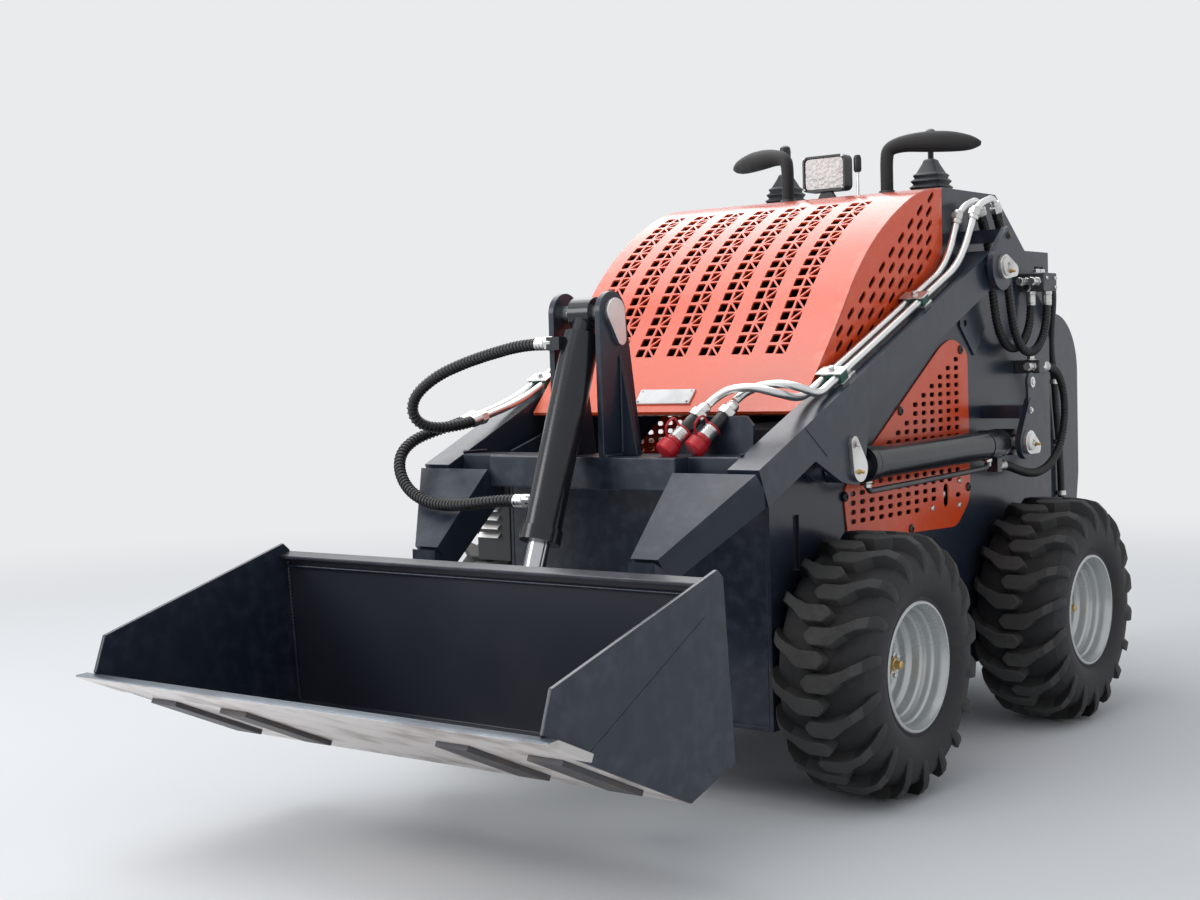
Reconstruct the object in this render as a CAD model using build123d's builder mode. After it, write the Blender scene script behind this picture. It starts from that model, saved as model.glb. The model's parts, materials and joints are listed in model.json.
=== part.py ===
# Compact four-wheel skid steer loader with a tipping bucket.
# Millimetres. X is across (positive to the machine's left), Y runs from front to back
# (the bucket is at negative Y), Z is up, and the wheels stand on Z = 0.
# Outlines seen from the side are lists of (y, z) points.
from build123d import *
from math import hypot, pi, radians, tan
import os

os.makedirs("parts", exist_ok=True)

# Clearances
RUNNING_GAP = 0.3
PIN_FIT = 0.05

# Wheels
TYRE_RADIUS = 228.6
TYRE_BULGE_X = 93.0
LUG_HALF_WIDTH = 91.0
LUG_HEIGHT = 15.0
LUG_LENGTH = 30.0
LUGS_PER_SIDE = 18
TYRE_SIDES = 36
LEG_FALL = 6.4
SHOULDER_WIDTH = 18.0
SHOULDER_DROP = 24.0
BEAD_RADIUS = 102.0
BEAD_HALF_WIDTH = 66.0
RIM_FLANGE_RADIUS = 112.0
RIM_HALF_WIDTH = 79.0
RIM_SHEET = 5.0
RIM_WELL_RADIUS = 84.0
RIM_DISC_X = 14.0
HUB_RADIUS = 52.0
HUB_REACH = 34.0
WHEEL_X = 383.0
FRONT_AXLE_Y = -107.0
WHEELBASE = 756.0
AXLE_RADIUS = 30.0
AXLE_FLANGE_RADIUS = 62.0
AXLE_FLANGE = 8.0

# Chassis
SIDE_X = 284.0
SIDE_SHEET = 8.0
FRONT_Y = -290.0
REAR_Y = 876.0
BELLY_Z = 130.0
NOSE_Z = 600.0
TUB_SHEET = 10.0
TUB_FRONT_Z = 590.0
TOWER_FRONT_Y = 372.0
TOWER_REAR_Y = 612.0
TOWER_TOP_Z = 1083.0
STEP_Y = 754.0
STEP_Z = 973.0
TIE_DOWN_X = 180.0
TIE_DOWN_Z = 185.0
TIE_DOWN_RADIUS = 14.0
SLOT_Y = -204.0
SLOT_WIDTH = 18.0
SLOT_LOW_Z = 395.0
SLOT_HIGH_Z = 488.0
ENGINE_HALF_WIDTH = 190.0
ENGINE_FRONT_Y = 150.0
ENGINE_REAR_Y = 560.0
ENGINE_TOP_Z = 620.0
CONSOLE_SHEET = 12.0

# Vent panels: slots in rows, set out from the rear lower corner of each panel
VENT_SHEET = 3.0
VENT_PITCH_Y = 34.0
VENT_PITCH_Z = 26.0
VENT_SLOT_LENGTH = 20.0
VENT_SLOT_HEIGHT = 11.0

# Rear housing and folding stand
HOUSING_REAR_Y = 1085.0
HOUSING_HALF_WIDTH = 262.0
HOUSING_TOP_Z = 842.0
HOUSING_FOOT_Z = 250.0
HOUSING_WAIST_Z = 480.0
HOUSING_FOOT_INSET = 45.0
HOUSING_TOP_RADIUS = 130.0
HOUSING_WAIST_RADIUS = 90.0
STAND_INSET = 22.0
STAND_LUG = 12.0
STAND_GAP = 5.0
STAND_SHEET = 6.0
STAND_RIM = 14.0
STAND_Y = 1104.0
STAND_Z = 235.0
STAND_TOP_Z = 645.0
STAND_TUBE = 10.0

# Hood
HOOD_HALF_WIDTH = 294.0
HOOD_SHEET = 4.0
HOOD_REAR_Y = 346.0
HOOD_HINGE_Y = 352.0
HOOD_HINGE_Z = 1062.0
KNUCKLE_RADIUS = 9.0
KNUCKLE_X = 200.0
KNUCKLE_WIDTH = 30.0
CONSOLE_FRONT_Y = 370.0
STRIPE_PITCH = 66.0
STRIPE_COUNT = 7
STRIPE_COLUMN = 11.0
STRIPE_HOLE_WIDTH = 15.0
STRIPE_HOLE_LENGTH = 13.0
STRIPE_HOLE_PITCH = 22.4
PLATE_WIDTH = 120.0
PLATE_HEIGHT = 34.0

# Lift arms
ARM_INNER_X = 300.0
ARM_WIDTH = 60.0
ARM_DEPTH = 66.0
ARM_PIVOT_Y = 436.0
ARM_PIVOT_Z = 925.0
ARM_BOSS_RADIUS = 33.0
BEND_Y = -424.0
BEND_Z = 552.0
BEND_WIDTH = 160.0
KNEE_Y = -556.0
KNEE_Z = 430.0
KNEE_INNER_X = 206.0
KNEE_WIDTH = 52.0
KNEE_DEPTH = 56.0
HINGE_BOSS_RADIUS = 30.0
LUG_SHEET = 8.0
EAR_GAP = 6.0
EAR_SHEET = 12.0
EAR_RADIUS = 46.0
PIN_RADIUS = 15.0
PIN_HEAD = 8.0
FLAG_RADIUS = 24.0
FLAG_REACH = 44.0
CROSS_FRONT_Y = -440.0
CROSS_STEP_Y = -400.0
CROSS_REAR_Y = -330.0
CROSS_BOTTOM_Z = 545.0
CROSS_TOP_Z = 600.0

# Tilt tower and tilt cylinder
HINGE_Y = -560.0
HINGE_Z = 190.0
TILT_EYE_Y = -600.0
TILT_EYE_Z = 330.0
TILT_PIN_Y = -405.0
TILT_PIN_Z = 843.0
TOWER_GAP = 44.0
TOWER_SHEET = 12.0
TOWER_HEAD_RADIUS = 36.0
TOWER_FOOT_Y = (-440.0, -330.0)
RIB_REACH = 34.0
RIB_TOP_Z = 775.0
TILT_BARREL_RADIUS = 32.0
TILT_ROD_RADIUS = 18.0
TILT_ROD_SHOWING = 143.8
UPPER_PORT_X = 40.0
UPPER_PORT_Y = -457.0
UPPER_PORT_Z = 793.0
LOWER_PORT_X = 42.0
LOWER_PORT_Y = -524.0
LOWER_PORT_Z = 530.0
GLAND_LENGTH = 24.0
GLAND_EXTRA = 3.0
ROD_START = 80.0
NECK_RADIUS = 22.0
NECK_LENGTH = 40.0

# Lift cylinders
LIFT_BASE_Y = 540.0
LIFT_BASE_Z = 576.0
LIFT_EYE_Y = -125.0
LIFT_EYE_Z = 566.0
LIFT_X = 330.0
LIFT_BARREL_RADIUS = 29.0
LIFT_ROD_RADIUS = 16.0
LIFT_ROD_SHOWING = 65.0
LIFT_PORT_Y = 500.0
LIFT_PORT_Z = 530.0
LIFT_EAR_RADIUS = 34.0
EYE_RADIUS = 27.0
EYE_WIDTH = 44.0

# Bucket
BUCKET_HALF_WIDTH = 457.0
BUCKET_SHEET = 6.0
SIDE_PLATE = 8.0
EDGE_OVERHANG = 21.0
EDGE_THICK = 12.0
EDGE_DEPTH = 95.0
EDGE_Y = -1118.0
EDGE_Z = 290.0
HEEL_Y = -783.0
HEEL_Z = 141.0
BACK_FOOT_Y = -673.0
BACK_FOOT_Z = 176.0
BACK_TOP_Y = -690.0
BACK_TOP_Z = 446.0
LIP_DEPTH = 24.0
SKID_X = (-420.0, -255.0, 195.0, 360.0)
SKID_WIDTH = 60.0
SKID_SHEET = 8.0
SKID_START = 110.0
SKID_LENGTH = 190.0
COUPLER_SHEET = 15.0
COUPLER_HALF_WIDTH = 280.0
COUPLER_FOOT_Z = 184.0
COUPLER_TOP_Z = 420.0

# Pipes and hoses
PIPE_RADIUS = 7.0
PIPE_HEIGHT = 45.0
TILT_HOSE_RADIUS = 9.0
SWING_HOSE_RADIUS = 8.0
JOINT_GAP = 0.3
CAP_RADIUS = 17.0
CAP_LENGTH = 16.0
QUICK_RADIUS = 13.0
QUICK_LENGTH = 108.0
PORT_RADIUS = 11.0

REAR_AXLE_Y = FRONT_AXLE_Y + WHEELBASE
STAND_HALF_WIDTH = HOUSING_HALF_WIDTH - STAND_INSET
ARM_OUTER_X = ARM_INNER_X + ARM_WIDTH
EAR_X = ARM_OUTER_X + EAR_GAP
INNER_SIDE_X = SIDE_X - SIDE_SHEET
SIDES = (("left", 1), ("right", -1))
WHEELS = (("front", FRONT_AXLE_Y), ("rear", REAR_AXLE_Y))


def finish(piece, label):
    """Name a finished piece and write it out."""
    piece.part.label = label
    export_step(piece.part, f"parts/{label}.step")


def across(x):
    """Plane whose sketch axes are Y and Z, at a distance across the machine."""
    return Plane.YZ.offset(x)


def slab(points, x_from, thickness, mode=Mode.ADD):
    """Plate of constant thickness with a (y, z) outline."""
    with BuildSketch(across(x_from)) as profile:
        Polygon(*points, align=None)
    extrude(profile.sketch, amount=thickness, mode=mode)


def disc(y, z, radius, x_from, thickness, mode=Mode.ADD):
    """Round bar or hole that runs across the machine."""
    with BuildSketch(across(x_from)) as profile:
        with Locations((y, z)):
            Circle(radius)
    extrude(profile.sketch, amount=thickness, mode=mode)


def link(first, first_radius, second, second_radius, x_from, thickness, mode=Mode.ADD):
    """Pear-shaped plate: two discs at (y, z) centres, with straight flanks between them."""
    with BuildSketch(across(x_from)) as profile:
        with Locations(first):
            Circle(first_radius)
        with Locations(second):
            Circle(second_radius)
        make_hull()
    extrude(profile.sketch, amount=thickness, mode=mode)


def block(x_range, y_range, z_range, mode=Mode.ADD):
    """Box between two limits on each axis."""
    size = [high - low for low, high in (x_range, y_range, z_range)]
    centre = [(high + low) / 2 for low, high in (x_range, y_range, z_range)]
    with Locations(tuple(centre)):
        Box(*size, mode=mode)


def along(x, start, end):
    """Plane at a start point whose normal points to an end point; both are (y, z)."""
    return Plane(origin=(x, *start), x_dir=(1, 0, 0), z_dir=(0, end[0] - start[0], end[1] - start[1]))


def bar(plane, radius, length, start=0.0, mode=Mode.ADD):
    """Round bar along a plane's normal."""
    with BuildSketch(plane.offset(start)) as profile:
        Circle(radius)
    extrude(profile.sketch, amount=length, mode=mode)


def bend_radii(points):
    """Largest even bends of a tube through points: 0.45 of the shorter run at each corner."""
    radii = []
    for before, corner, after in zip(points, points[1:], points[2:]):
        arriving = Vector(*corner) - Vector(*before)
        leaving = Vector(*after) - Vector(*corner)
        half_turn = radians(arriving.get_angle(leaving)) / 2
        radii.append(0.45 * min(arriving.length, leaving.length) / tan(half_turn))
    return radii


def tube(points, radius):
    """Round tube along straight runs with tangent bends; returns its length."""
    with BuildLine() as path:
        FilletPolyline(*points, radius=bend_radii(points))
    route = path.wires()[0]
    with BuildSketch(Plane(origin=points[0], z_dir=Vector(*points[1]) - Vector(*points[0]))) as section:
        Circle(radius)
    sweep(section.sketch, path=route)
    return route.length


def back_y(height):
    """How far back the bucket's rear plate is at a height."""
    return BACK_FOOT_Y + (height - BACK_FOOT_Z) / (BACK_TOP_Z - BACK_FOOT_Z) * (BACK_TOP_Y - BACK_FOOT_Y)


# Wheels: one tyre and one rim are modelled about their own axle and copied to the four places
crown = TYRE_RADIUS - LUG_HEIGHT
lug_root = crown - SHOULDER_DROP - SHOULDER_WIDTH
LUG_PITCH = 360 / LUGS_PER_SIDE
# A lug from above the tread: x across from the centre line, y around the tyre
LUG_OUTLINE = ((-15, 0), (-6, -15), (26, -15), (46, 2), (95, 20), (95, 48), (50, 32), (30, 15), (-6, 15))
with BuildPart() as lug:
    with BuildSketch(Plane.XY.offset(lug_root)):
        Polygon(*LUG_OUTLINE, align=None)
    extrude(amount=TYRE_RADIUS - lug_root)
    with BuildSketch(Plane.XZ.offset(-2 * LUG_LENGTH)):
        Polygon(
            (-2 * LUG_LENGTH, lug_root),
            (-2 * LUG_LENGTH, TYRE_RADIUS),
            (LUG_HALF_WIDTH - SHOULDER_WIDTH, TYRE_RADIUS),
            (LUG_HALF_WIDTH, TYRE_RADIUS - SHOULDER_DROP),
            (LUG_HALF_WIDTH, lug_root),
            align=None,
        )
    extrude(amount=4 * LUG_LENGTH, mode=Mode.INTERSECT)
    # the legs fall away with the tread's curve
    with BuildSketch(across(-2 * LUG_LENGTH)):
        Polygon(
            (-LUG_LENGTH, lug_root),
            (-LUG_LENGTH, TYRE_RADIUS),
            (LUG_LENGTH / 2, TYRE_RADIUS),
            (2 * LUG_LENGTH, TYRE_RADIUS - LEG_FALL),
            (2 * LUG_LENGTH, lug_root),
            align=None,
        )
    extrude(amount=6 * LUG_LENGTH, mode=Mode.INTERSECT)

# The carcass has flat facets: distance across from the centre line and radius of each ring
CARCASS = (
    (-TYRE_BULGE_X, 158),
    (-LUG_HALF_WIDTH + 3, crown - SHOULDER_DROP),
    (-LUG_HALF_WIDTH + 24, crown),
    (LUG_HALF_WIDTH - 24, crown),
    (LUG_HALF_WIDTH - 3, crown - SHOULDER_DROP),
    (TYRE_BULGE_X, 158),
)
SIDE_WALL = ((BEAD_HALF_WIDTH, RIM_FLANGE_RADIUS + 2), (TYRE_BULGE_X, 150))
with BuildPart() as tyre_form:
    for x, radius in CARCASS:
        with BuildSketch(across(x)):
            RegularPolygon(radius, TYRE_SIDES)
    loft(ruled=True)
    for sign in (1, -1):
        for x, radius in SIDE_WALL:
            with BuildSketch(across(sign * x)):
                RegularPolygon(radius, TYRE_SIDES)
        loft(ruled=True, mode=Mode.SUBTRACT)
    with BuildSketch(across(-BEAD_HALF_WIDTH)):
        RegularPolygon(BEAD_RADIUS, TYRE_SIDES, major_radius=False)
    extrude(amount=2 * BEAD_HALF_WIDTH, mode=Mode.SUBTRACT)
    for half in (0, 1):
        for step in range(LUGS_PER_SIDE):
            add(Rot(X=(step + half / 2) * LUG_PITCH) * Rot(Z=180 * half) * lug.part)

well = RIM_WELL_RADIUS - RIM_SHEET
with BuildPart() as rim_form:
    with BuildSketch(Plane.XY):
        Polygon(
            (-RIM_HALF_WIDTH, RIM_FLANGE_RADIUS),
            (-RIM_HALF_WIDTH + 8, RIM_FLANGE_RADIUS),
            (-BEAD_HALF_WIDTH - 1, BEAD_RADIUS - RUNNING_GAP),
            (-45, BEAD_RADIUS - 2),
            (-32, RIM_WELL_RADIUS),
            (28, RIM_WELL_RADIUS),
            (44, BEAD_RADIUS - 2),
            (BEAD_HALF_WIDTH + 1, BEAD_RADIUS - RUNNING_GAP),
            (RIM_HALF_WIDTH - 8, RIM_FLANGE_RADIUS),
            (RIM_HALF_WIDTH, RIM_FLANGE_RADIUS),
            (RIM_HALF_WIDTH - 5, BEAD_RADIUS - RIM_SHEET),
            (48, BEAD_RADIUS - RIM_SHEET - 3),
            (34, well),
            (RIM_DISC_X + RIM_SHEET, well),
            (RIM_DISC_X + RIM_SHEET, 0),
            (RIM_DISC_X - RIM_SHEET, 0),
            (RIM_DISC_X - RIM_SHEET, well),
            (-36, well),
            (-50, BEAD_RADIUS - RIM_SHEET - 3),
            (-RIM_HALF_WIDTH + 5, BEAD_RADIUS - RIM_SHEET),
            align=None,
        )
    revolve(axis=Axis.X)
    with BuildSketch(Plane.YZ.offset(RIM_DISC_X)):
        Circle(HUB_RADIUS)
    extrude(amount=-HUB_REACH)

for end, axle_y in WHEELS:
    for side, sign in SIDES:
        place = Pos(sign * WHEEL_X, axle_y, TYRE_RADIUS) * Rot(Z=0 if sign > 0 else 180)
        with BuildPart() as tyre:
            add(place * tyre_form.part)
        finish(tyre, f"tyre_{end}_{side}")
        with BuildPart() as rim:
            add(place * rim_form.part)
        finish(rim, f"rim_{end}_{side}")

# Fixed axle housings that carry the wheels
hub_face = WHEEL_X + RIM_DISC_X - HUB_REACH
with BuildPart() as axle_housings:
    for end, axle_y in WHEELS:
        for side, sign in SIDES:
            disc(axle_y, TYRE_RADIUS, AXLE_FLANGE_RADIUS, sign * SIDE_X, sign * AXLE_FLANGE)
            disc(axle_y, TYRE_RADIUS, AXLE_RADIUS, sign * SIDE_X, sign * (hub_face - RUNNING_GAP - SIDE_X))
finish(axle_housings, "axle_housings")

# Chassis side plates
# Vent panel outline and the opening behind it, which is smaller all round
VENT_OUTLINE = (
    (-30, 424),
    (-45, 521),
    (62, 593),
    (348, 775),
    (396, 789),
    (462, 764),
    (466, 467),
    (404, 415),
    (189, 421),
)
VENT_OPENING = ((-10, 440), (-10, 500), (64, 560), (366, 755), (445, 755), (445, 440))
with BuildPart() as side_plate_left:
    slab(
        (
            (FRONT_Y, BELLY_Z),
            (FRONT_Y, NOSE_Z),
            (-150, 640),
            (0, 760),
            (120, 930),
            (TOWER_FRONT_Y - 60, TOWER_TOP_Z - 43),
            (TOWER_FRONT_Y, TOWER_TOP_Z),
            (TOWER_REAR_Y, TOWER_TOP_Z),
            (STEP_Y, STEP_Z),
            (REAR_Y, STEP_Z),
            (REAR_Y, BELLY_Z),
        ),
        INNER_SIDE_X,
        SIDE_SHEET,
    )
    slab(VENT_OPENING, INNER_SIDE_X, SIDE_SHEET, Mode.SUBTRACT)
    block(
        (INNER_SIDE_X, SIDE_X),
        (SLOT_Y - SLOT_WIDTH / 2, SLOT_Y + SLOT_WIDTH / 2),
        (SLOT_LOW_Z, SLOT_HIGH_Z),
        Mode.SUBTRACT,
    )
finish(side_plate_left, "side_plate_left")
with BuildPart() as side_plate_right:
    mirror(side_plate_left.part, about=Plane.YZ)
finish(side_plate_right, "side_plate_right")

# Brackets that stand out from the side plates: an ear outboard of the arm or cylinder, on a box
with BuildPart() as arm_brackets:
    for side, sign in SIDES:
        link(
            (ARM_PIVOT_Y, ARM_PIVOT_Z),
            EAR_RADIUS,
            (ARM_PIVOT_Y + 30, ARM_PIVOT_Z + 62),
            18,
            sign * EAR_X,
            sign * EAR_SHEET,
        )
        box_x = sorted((sign * SIDE_X, sign * EAR_X))
        block(box_x, (ARM_PIVOT_Y + 14, ARM_PIVOT_Y + 48), (ARM_PIVOT_Z + 50, ARM_PIVOT_Z + 75))
        disc(ARM_PIVOT_Y, ARM_PIVOT_Z, PIN_RADIUS + PIN_FIT, sign * EAR_X, sign * EAR_SHEET, Mode.SUBTRACT)
finish(arm_brackets, "arm_brackets")

with BuildPart() as lift_brackets:
    for side, sign in SIDES:
        link(
            (LIFT_BASE_Y, LIFT_BASE_Z),
            LIFT_EAR_RADIUS,
            (LIFT_BASE_Y + 24, LIFT_BASE_Z + 76),
            14,
            sign * EAR_X,
            sign * EAR_SHEET,
        )
        box_x = sorted((sign * SIDE_X, sign * EAR_X))
        block(box_x, (LIFT_BASE_Y - 8, LIFT_BASE_Y + 60), (LIFT_BASE_Z + 48, LIFT_BASE_Z + 74))
        disc(LIFT_BASE_Y, LIFT_BASE_Z, PIN_RADIUS + PIN_FIT, sign * EAR_X, sign * EAR_SHEET, Mode.SUBTRACT)
finish(lift_brackets, "lift_brackets")

# Pins with flag plates outside the ears
with BuildPart() as pivot_pins:
    for pin_y, pin_z, flag_y, flag_z in (
        (ARM_PIVOT_Y, ARM_PIVOT_Z, FLAG_REACH, -6),
        (LIFT_BASE_Y, LIFT_BASE_Z, FLAG_REACH * 0.8, -12),
    ):
        for side, sign in SIDES:
            disc(pin_y, pin_z, PIN_RADIUS, sign * SIDE_X, sign * (EAR_X + EAR_SHEET - SIDE_X))
            link(
                (pin_y, pin_z),
                FLAG_RADIUS,
                (pin_y + flag_y, pin_z + flag_z),
                FLAG_RADIUS / 2,
                sign * (EAR_X + EAR_SHEET),
                sign * PIN_HEAD,
            )
finish(pivot_pins, "pivot_pins")

# Belly, front and rear plates between the side plates
TUB_PLATES = (
    ("belly_plate", (FRONT_Y, REAR_Y), (BELLY_Z, BELLY_Z + TUB_SHEET)),
    ("front_plate", (FRONT_Y, FRONT_Y + TUB_SHEET), (BELLY_Z + TUB_SHEET, TUB_FRONT_Z)),
    ("rear_plate", (REAR_Y - TUB_SHEET, REAR_Y), (BELLY_Z + TUB_SHEET, STEP_Z - CONSOLE_SHEET)),
)
for label, y_range, z_range in TUB_PLATES:
    with BuildPart() as tub_plate:
        block((-INNER_SIDE_X, INNER_SIDE_X), y_range, z_range)
        if label == "rear_plate":
            with Locations(Plane.XZ.offset(-REAR_Y)):
                with Locations((-TIE_DOWN_X, TIE_DOWN_Z), (TIE_DOWN_X, TIE_DOWN_Z)):
                    Hole(TIE_DOWN_RADIUS)
    finish(tub_plate, label)

with BuildPart() as engine_block:
    block(
        (-ENGINE_HALF_WIDTH, ENGINE_HALF_WIDTH),
        (ENGINE_FRONT_Y, ENGINE_REAR_Y),
        (BELLY_Z + TUB_SHEET, ENGINE_TOP_Z),
    )
finish(engine_block, "engine_block")

# Perforated covers over the side openings: rows of slots inside the slanted outline
# Slots in each row, from the lowest row up
VENT_ROWS = (10, 10, 10, 9, 8, 7, 6, 5, 4, 3, 1)
vent_rear_y = VENT_OPENING[-1][0]
vent_low_z = VENT_OPENING[-1][1]
with BuildPart() as vent_panel_left:
    slab(VENT_OUTLINE, SIDE_X, VENT_SHEET)
    with BuildSketch(across(SIDE_X)):
        for row, columns in enumerate(VENT_ROWS):
            for column in range(columns):
                slot_y = vent_rear_y - VENT_PITCH_Y / 2 - column * VENT_PITCH_Y
                slot_z = vent_low_z + VENT_PITCH_Z / 2 + row * VENT_PITCH_Z
                with Locations((slot_y, slot_z)):
                    Rectangle(VENT_SLOT_LENGTH, VENT_SLOT_HEIGHT)
    extrude(amount=VENT_SHEET, mode=Mode.SUBTRACT)
finish(vent_panel_left, "vent_panel_left")
with BuildPart() as vent_panel_right:
    mirror(vent_panel_left.part, about=Plane.YZ)
finish(vent_panel_right, "vent_panel_right")

# Console on top of the tower plates, with the fixed half of the hood's hinge
with BuildPart() as console:
    slab(
        (
            (CONSOLE_FRONT_Y, TOWER_TOP_Z - CONSOLE_SHEET),
            (CONSOLE_FRONT_Y, TOWER_TOP_Z),
            (TOWER_REAR_Y, TOWER_TOP_Z),
            (STEP_Y, STEP_Z),
            (REAR_Y, STEP_Z),
            (REAR_Y, STEP_Z - CONSOLE_SHEET),
            (STEP_Y - 5, STEP_Z - CONSOLE_SHEET),
            (TOWER_REAR_Y - 5, TOWER_TOP_Z - CONSOLE_SHEET),
        ),
        -INNER_SIDE_X,
        2 * INNER_SIDE_X,
    )
    for side, sign in SIDES:
        disc(HOOD_HINGE_Y, HOOD_HINGE_Z, KNUCKLE_RADIUS, sign * KNUCKLE_X, sign * KNUCKLE_WIDTH)
        slab(
            (
                (HOOD_HINGE_Y, HOOD_HINGE_Z - KNUCKLE_RADIUS + 1),
                (HOOD_HINGE_Y, HOOD_HINGE_Z + KNUCKLE_RADIUS - 1),
                (CONSOLE_FRONT_Y + 4, TOWER_TOP_Z - CONSOLE_SHEET + 4),
                (CONSOLE_FRONT_Y + 24, TOWER_TOP_Z - CONSOLE_SHEET + 4),
            ),
            sign * KNUCKLE_X,
            sign * KNUCKLE_WIDTH,
        )
finish(console, "console")

# Rear housing with its rounded back, and lugs for the stand's hinge
with BuildPart() as rear_housing:
    with BuildSketch(across(-HOUSING_HALF_WIDTH)):
        with BuildLine():
            FilletPolyline(
                (REAR_Y, HOUSING_TOP_Z),
                (HOUSING_REAR_Y, HOUSING_TOP_Z),
                (HOUSING_REAR_Y, HOUSING_WAIST_Z),
                (HOUSING_REAR_Y - HOUSING_FOOT_INSET, HOUSING_FOOT_Z),
                radius=[HOUSING_TOP_RADIUS, HOUSING_WAIST_RADIUS],
            )
            Polyline(
                (HOUSING_REAR_Y - HOUSING_FOOT_INSET, HOUSING_FOOT_Z),
                (REAR_Y, HOUSING_FOOT_Z),
                (REAR_Y, HOUSING_TOP_Z),
            )
        make_face()
    extrude(amount=2 * HOUSING_HALF_WIDTH)
    for side, sign in SIDES:
        slab(
            (
                (HOUSING_REAR_Y - 2 * HOUSING_FOOT_INSET, HOUSING_FOOT_Z),
                (HOUSING_REAR_Y - HOUSING_FOOT_INSET + 1, HOUSING_FOOT_Z + 6),
                (STAND_Y + 14, STAND_Z + STAND_TUBE),
                (STAND_Y + 14, STAND_Z - 12),
                (STAND_Y - 20, STAND_Z - 12),
            ),
            sign * (STAND_HALF_WIDTH + STAND_GAP),
            sign * STAND_LUG,
        )
finish(rear_housing, "rear_housing")

# Folding stand for the operator, stored upright behind the housing: a tray with a raised rim
stand_reach = STAND_HALF_WIDTH + STAND_GAP - RUNNING_GAP
with BuildPart() as stand_platform:
    block((-STAND_HALF_WIDTH, STAND_HALF_WIDTH), (STAND_Y - 10, STAND_Y + 12), (STAND_Z, STAND_TOP_Z))
    block(
        (-STAND_HALF_WIDTH + STAND_RIM, STAND_HALF_WIDTH - STAND_RIM),
        (STAND_Y - 10 + STAND_SHEET, STAND_Y + 12),
        (STAND_Z + 3 * STAND_RIM, STAND_TOP_Z - STAND_RIM),
        Mode.SUBTRACT,
    )
    disc(STAND_Y, STAND_Z, STAND_TUBE, -stand_reach, 2 * stand_reach)
finish(stand_platform, "stand_platform")

# Hold bars, control levers and lamp on the console
with BuildPart() as hold_bars:
    for side, sign in SIDES:
        tube(
            (
                (sign * 118, 455, TOWER_TOP_Z),
                (sign * 118, 455, TOWER_TOP_Z + 77),
                (sign * 170, 480, TOWER_TOP_Z + 102),
                (sign * 294, 521, TOWER_TOP_Z + 98),
            ),
            13,
        )
finish(hold_bars, "hold_bars")

with BuildPart() as control_levers:
    for side, sign in SIDES:
        with BuildSketch(Plane.XY.offset(TOWER_TOP_Z)):
            with Locations((sign * 175, 540)):
                Rectangle(66, 66)
        with BuildSketch(Plane.XY.offset(TOWER_TOP_Z + 60)):
            with Locations((sign * 175, 540)):
                Rectangle(30, 30)
        loft()
        with Locations((sign * 175, 540, TOWER_TOP_Z + 100)):
            Cylinder(11, 80)
finish(control_levers, "control_levers")

with BuildPart() as work_lamp:
    block((-45, 45), (400, 430), (TOWER_TOP_Z + 22, TOWER_TOP_Z + 87))
    block((-14, 14), (410, 422), (TOWER_TOP_Z, TOWER_TOP_Z + 22))
finish(work_lamp, "work_lamp")

# Hood: a bent top sheet between two cheeks
HOOD_LINE = ((-203, 667), (-77, 804), (11, 921), (121, 1008), (266, 1077), (HOOD_REAR_Y, 1079))
HOOD_UNDER = ((-200, 662.5), (-73.5, 801), (14, 917), (123, 1004), (267, 1073), (HOOD_REAR_Y, 1075))
CHEEK_FOOT = ((HOOD_REAR_Y, 950), (288, 894), (225, 861), (47, 777))
cheek_x = HOOD_HALF_WIDTH - HOOD_SHEET
# Each stripe is two columns of openings, set out on each flat of the bent sheet
# flat, first opening, openings
STRIPE_FLATS = ((0, 132, 3), (1, 13, 6), (2, 13, 6), (3, 13, 5))
with BuildPart() as hood:
    slab(HOOD_LINE + HOOD_UNDER[::-1], -HOOD_HALF_WIDTH, 2 * HOOD_HALF_WIDTH)
    for flat, first, count in STRIPE_FLATS:
        low, high = HOOD_LINE[flat], HOOD_LINE[flat + 1]
        slope = (high[0] - low[0], high[1] - low[1])
        flat_plane = Plane(origin=(0, *low), x_dir=(1, 0, 0), z_dir=(0, -slope[1], slope[0]))
        with BuildSketch(flat_plane):
            for stripe in range(STRIPE_COUNT):
                stripe_x = (stripe - (STRIPE_COUNT - 1) / 2) * STRIPE_PITCH
                for step in range(count):
                    rise = first + step * STRIPE_HOLE_PITCH
                    with Locations((stripe_x - STRIPE_COLUMN, rise)):
                        Rectangle(STRIPE_HOLE_WIDTH, STRIPE_HOLE_LENGTH)
                    with Locations((stripe_x + STRIPE_COLUMN, rise)):
                        RegularPolygon(STRIPE_HOLE_LENGTH * 0.62, 3)
        extrude(amount=2 * HOOD_SHEET, both=True, mode=Mode.SUBTRACT)
    for side, sign in SIDES:
        disc(
            HOOD_HINGE_Y,
            HOOD_HINGE_Z,
            KNUCKLE_RADIUS,
            sign * (KNUCKLE_X - RUNNING_GAP),
            -sign * KNUCKLE_WIDTH,
        )
        slab(
            (
                (HOOD_HINGE_Y - 30, HOOD_HINGE_Z + 14),
                (HOOD_HINGE_Y - 8, HOOD_HINGE_Z + 15),
                (HOOD_HINGE_Y, HOOD_HINGE_Z + KNUCKLE_RADIUS - 1),
                (HOOD_HINGE_Y, HOOD_HINGE_Z - KNUCKLE_RADIUS + 1),
            ),
            sign * (KNUCKLE_X - RUNNING_GAP),
            -sign * KNUCKLE_WIDTH,
        )
finish(hood, "hood")

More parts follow.
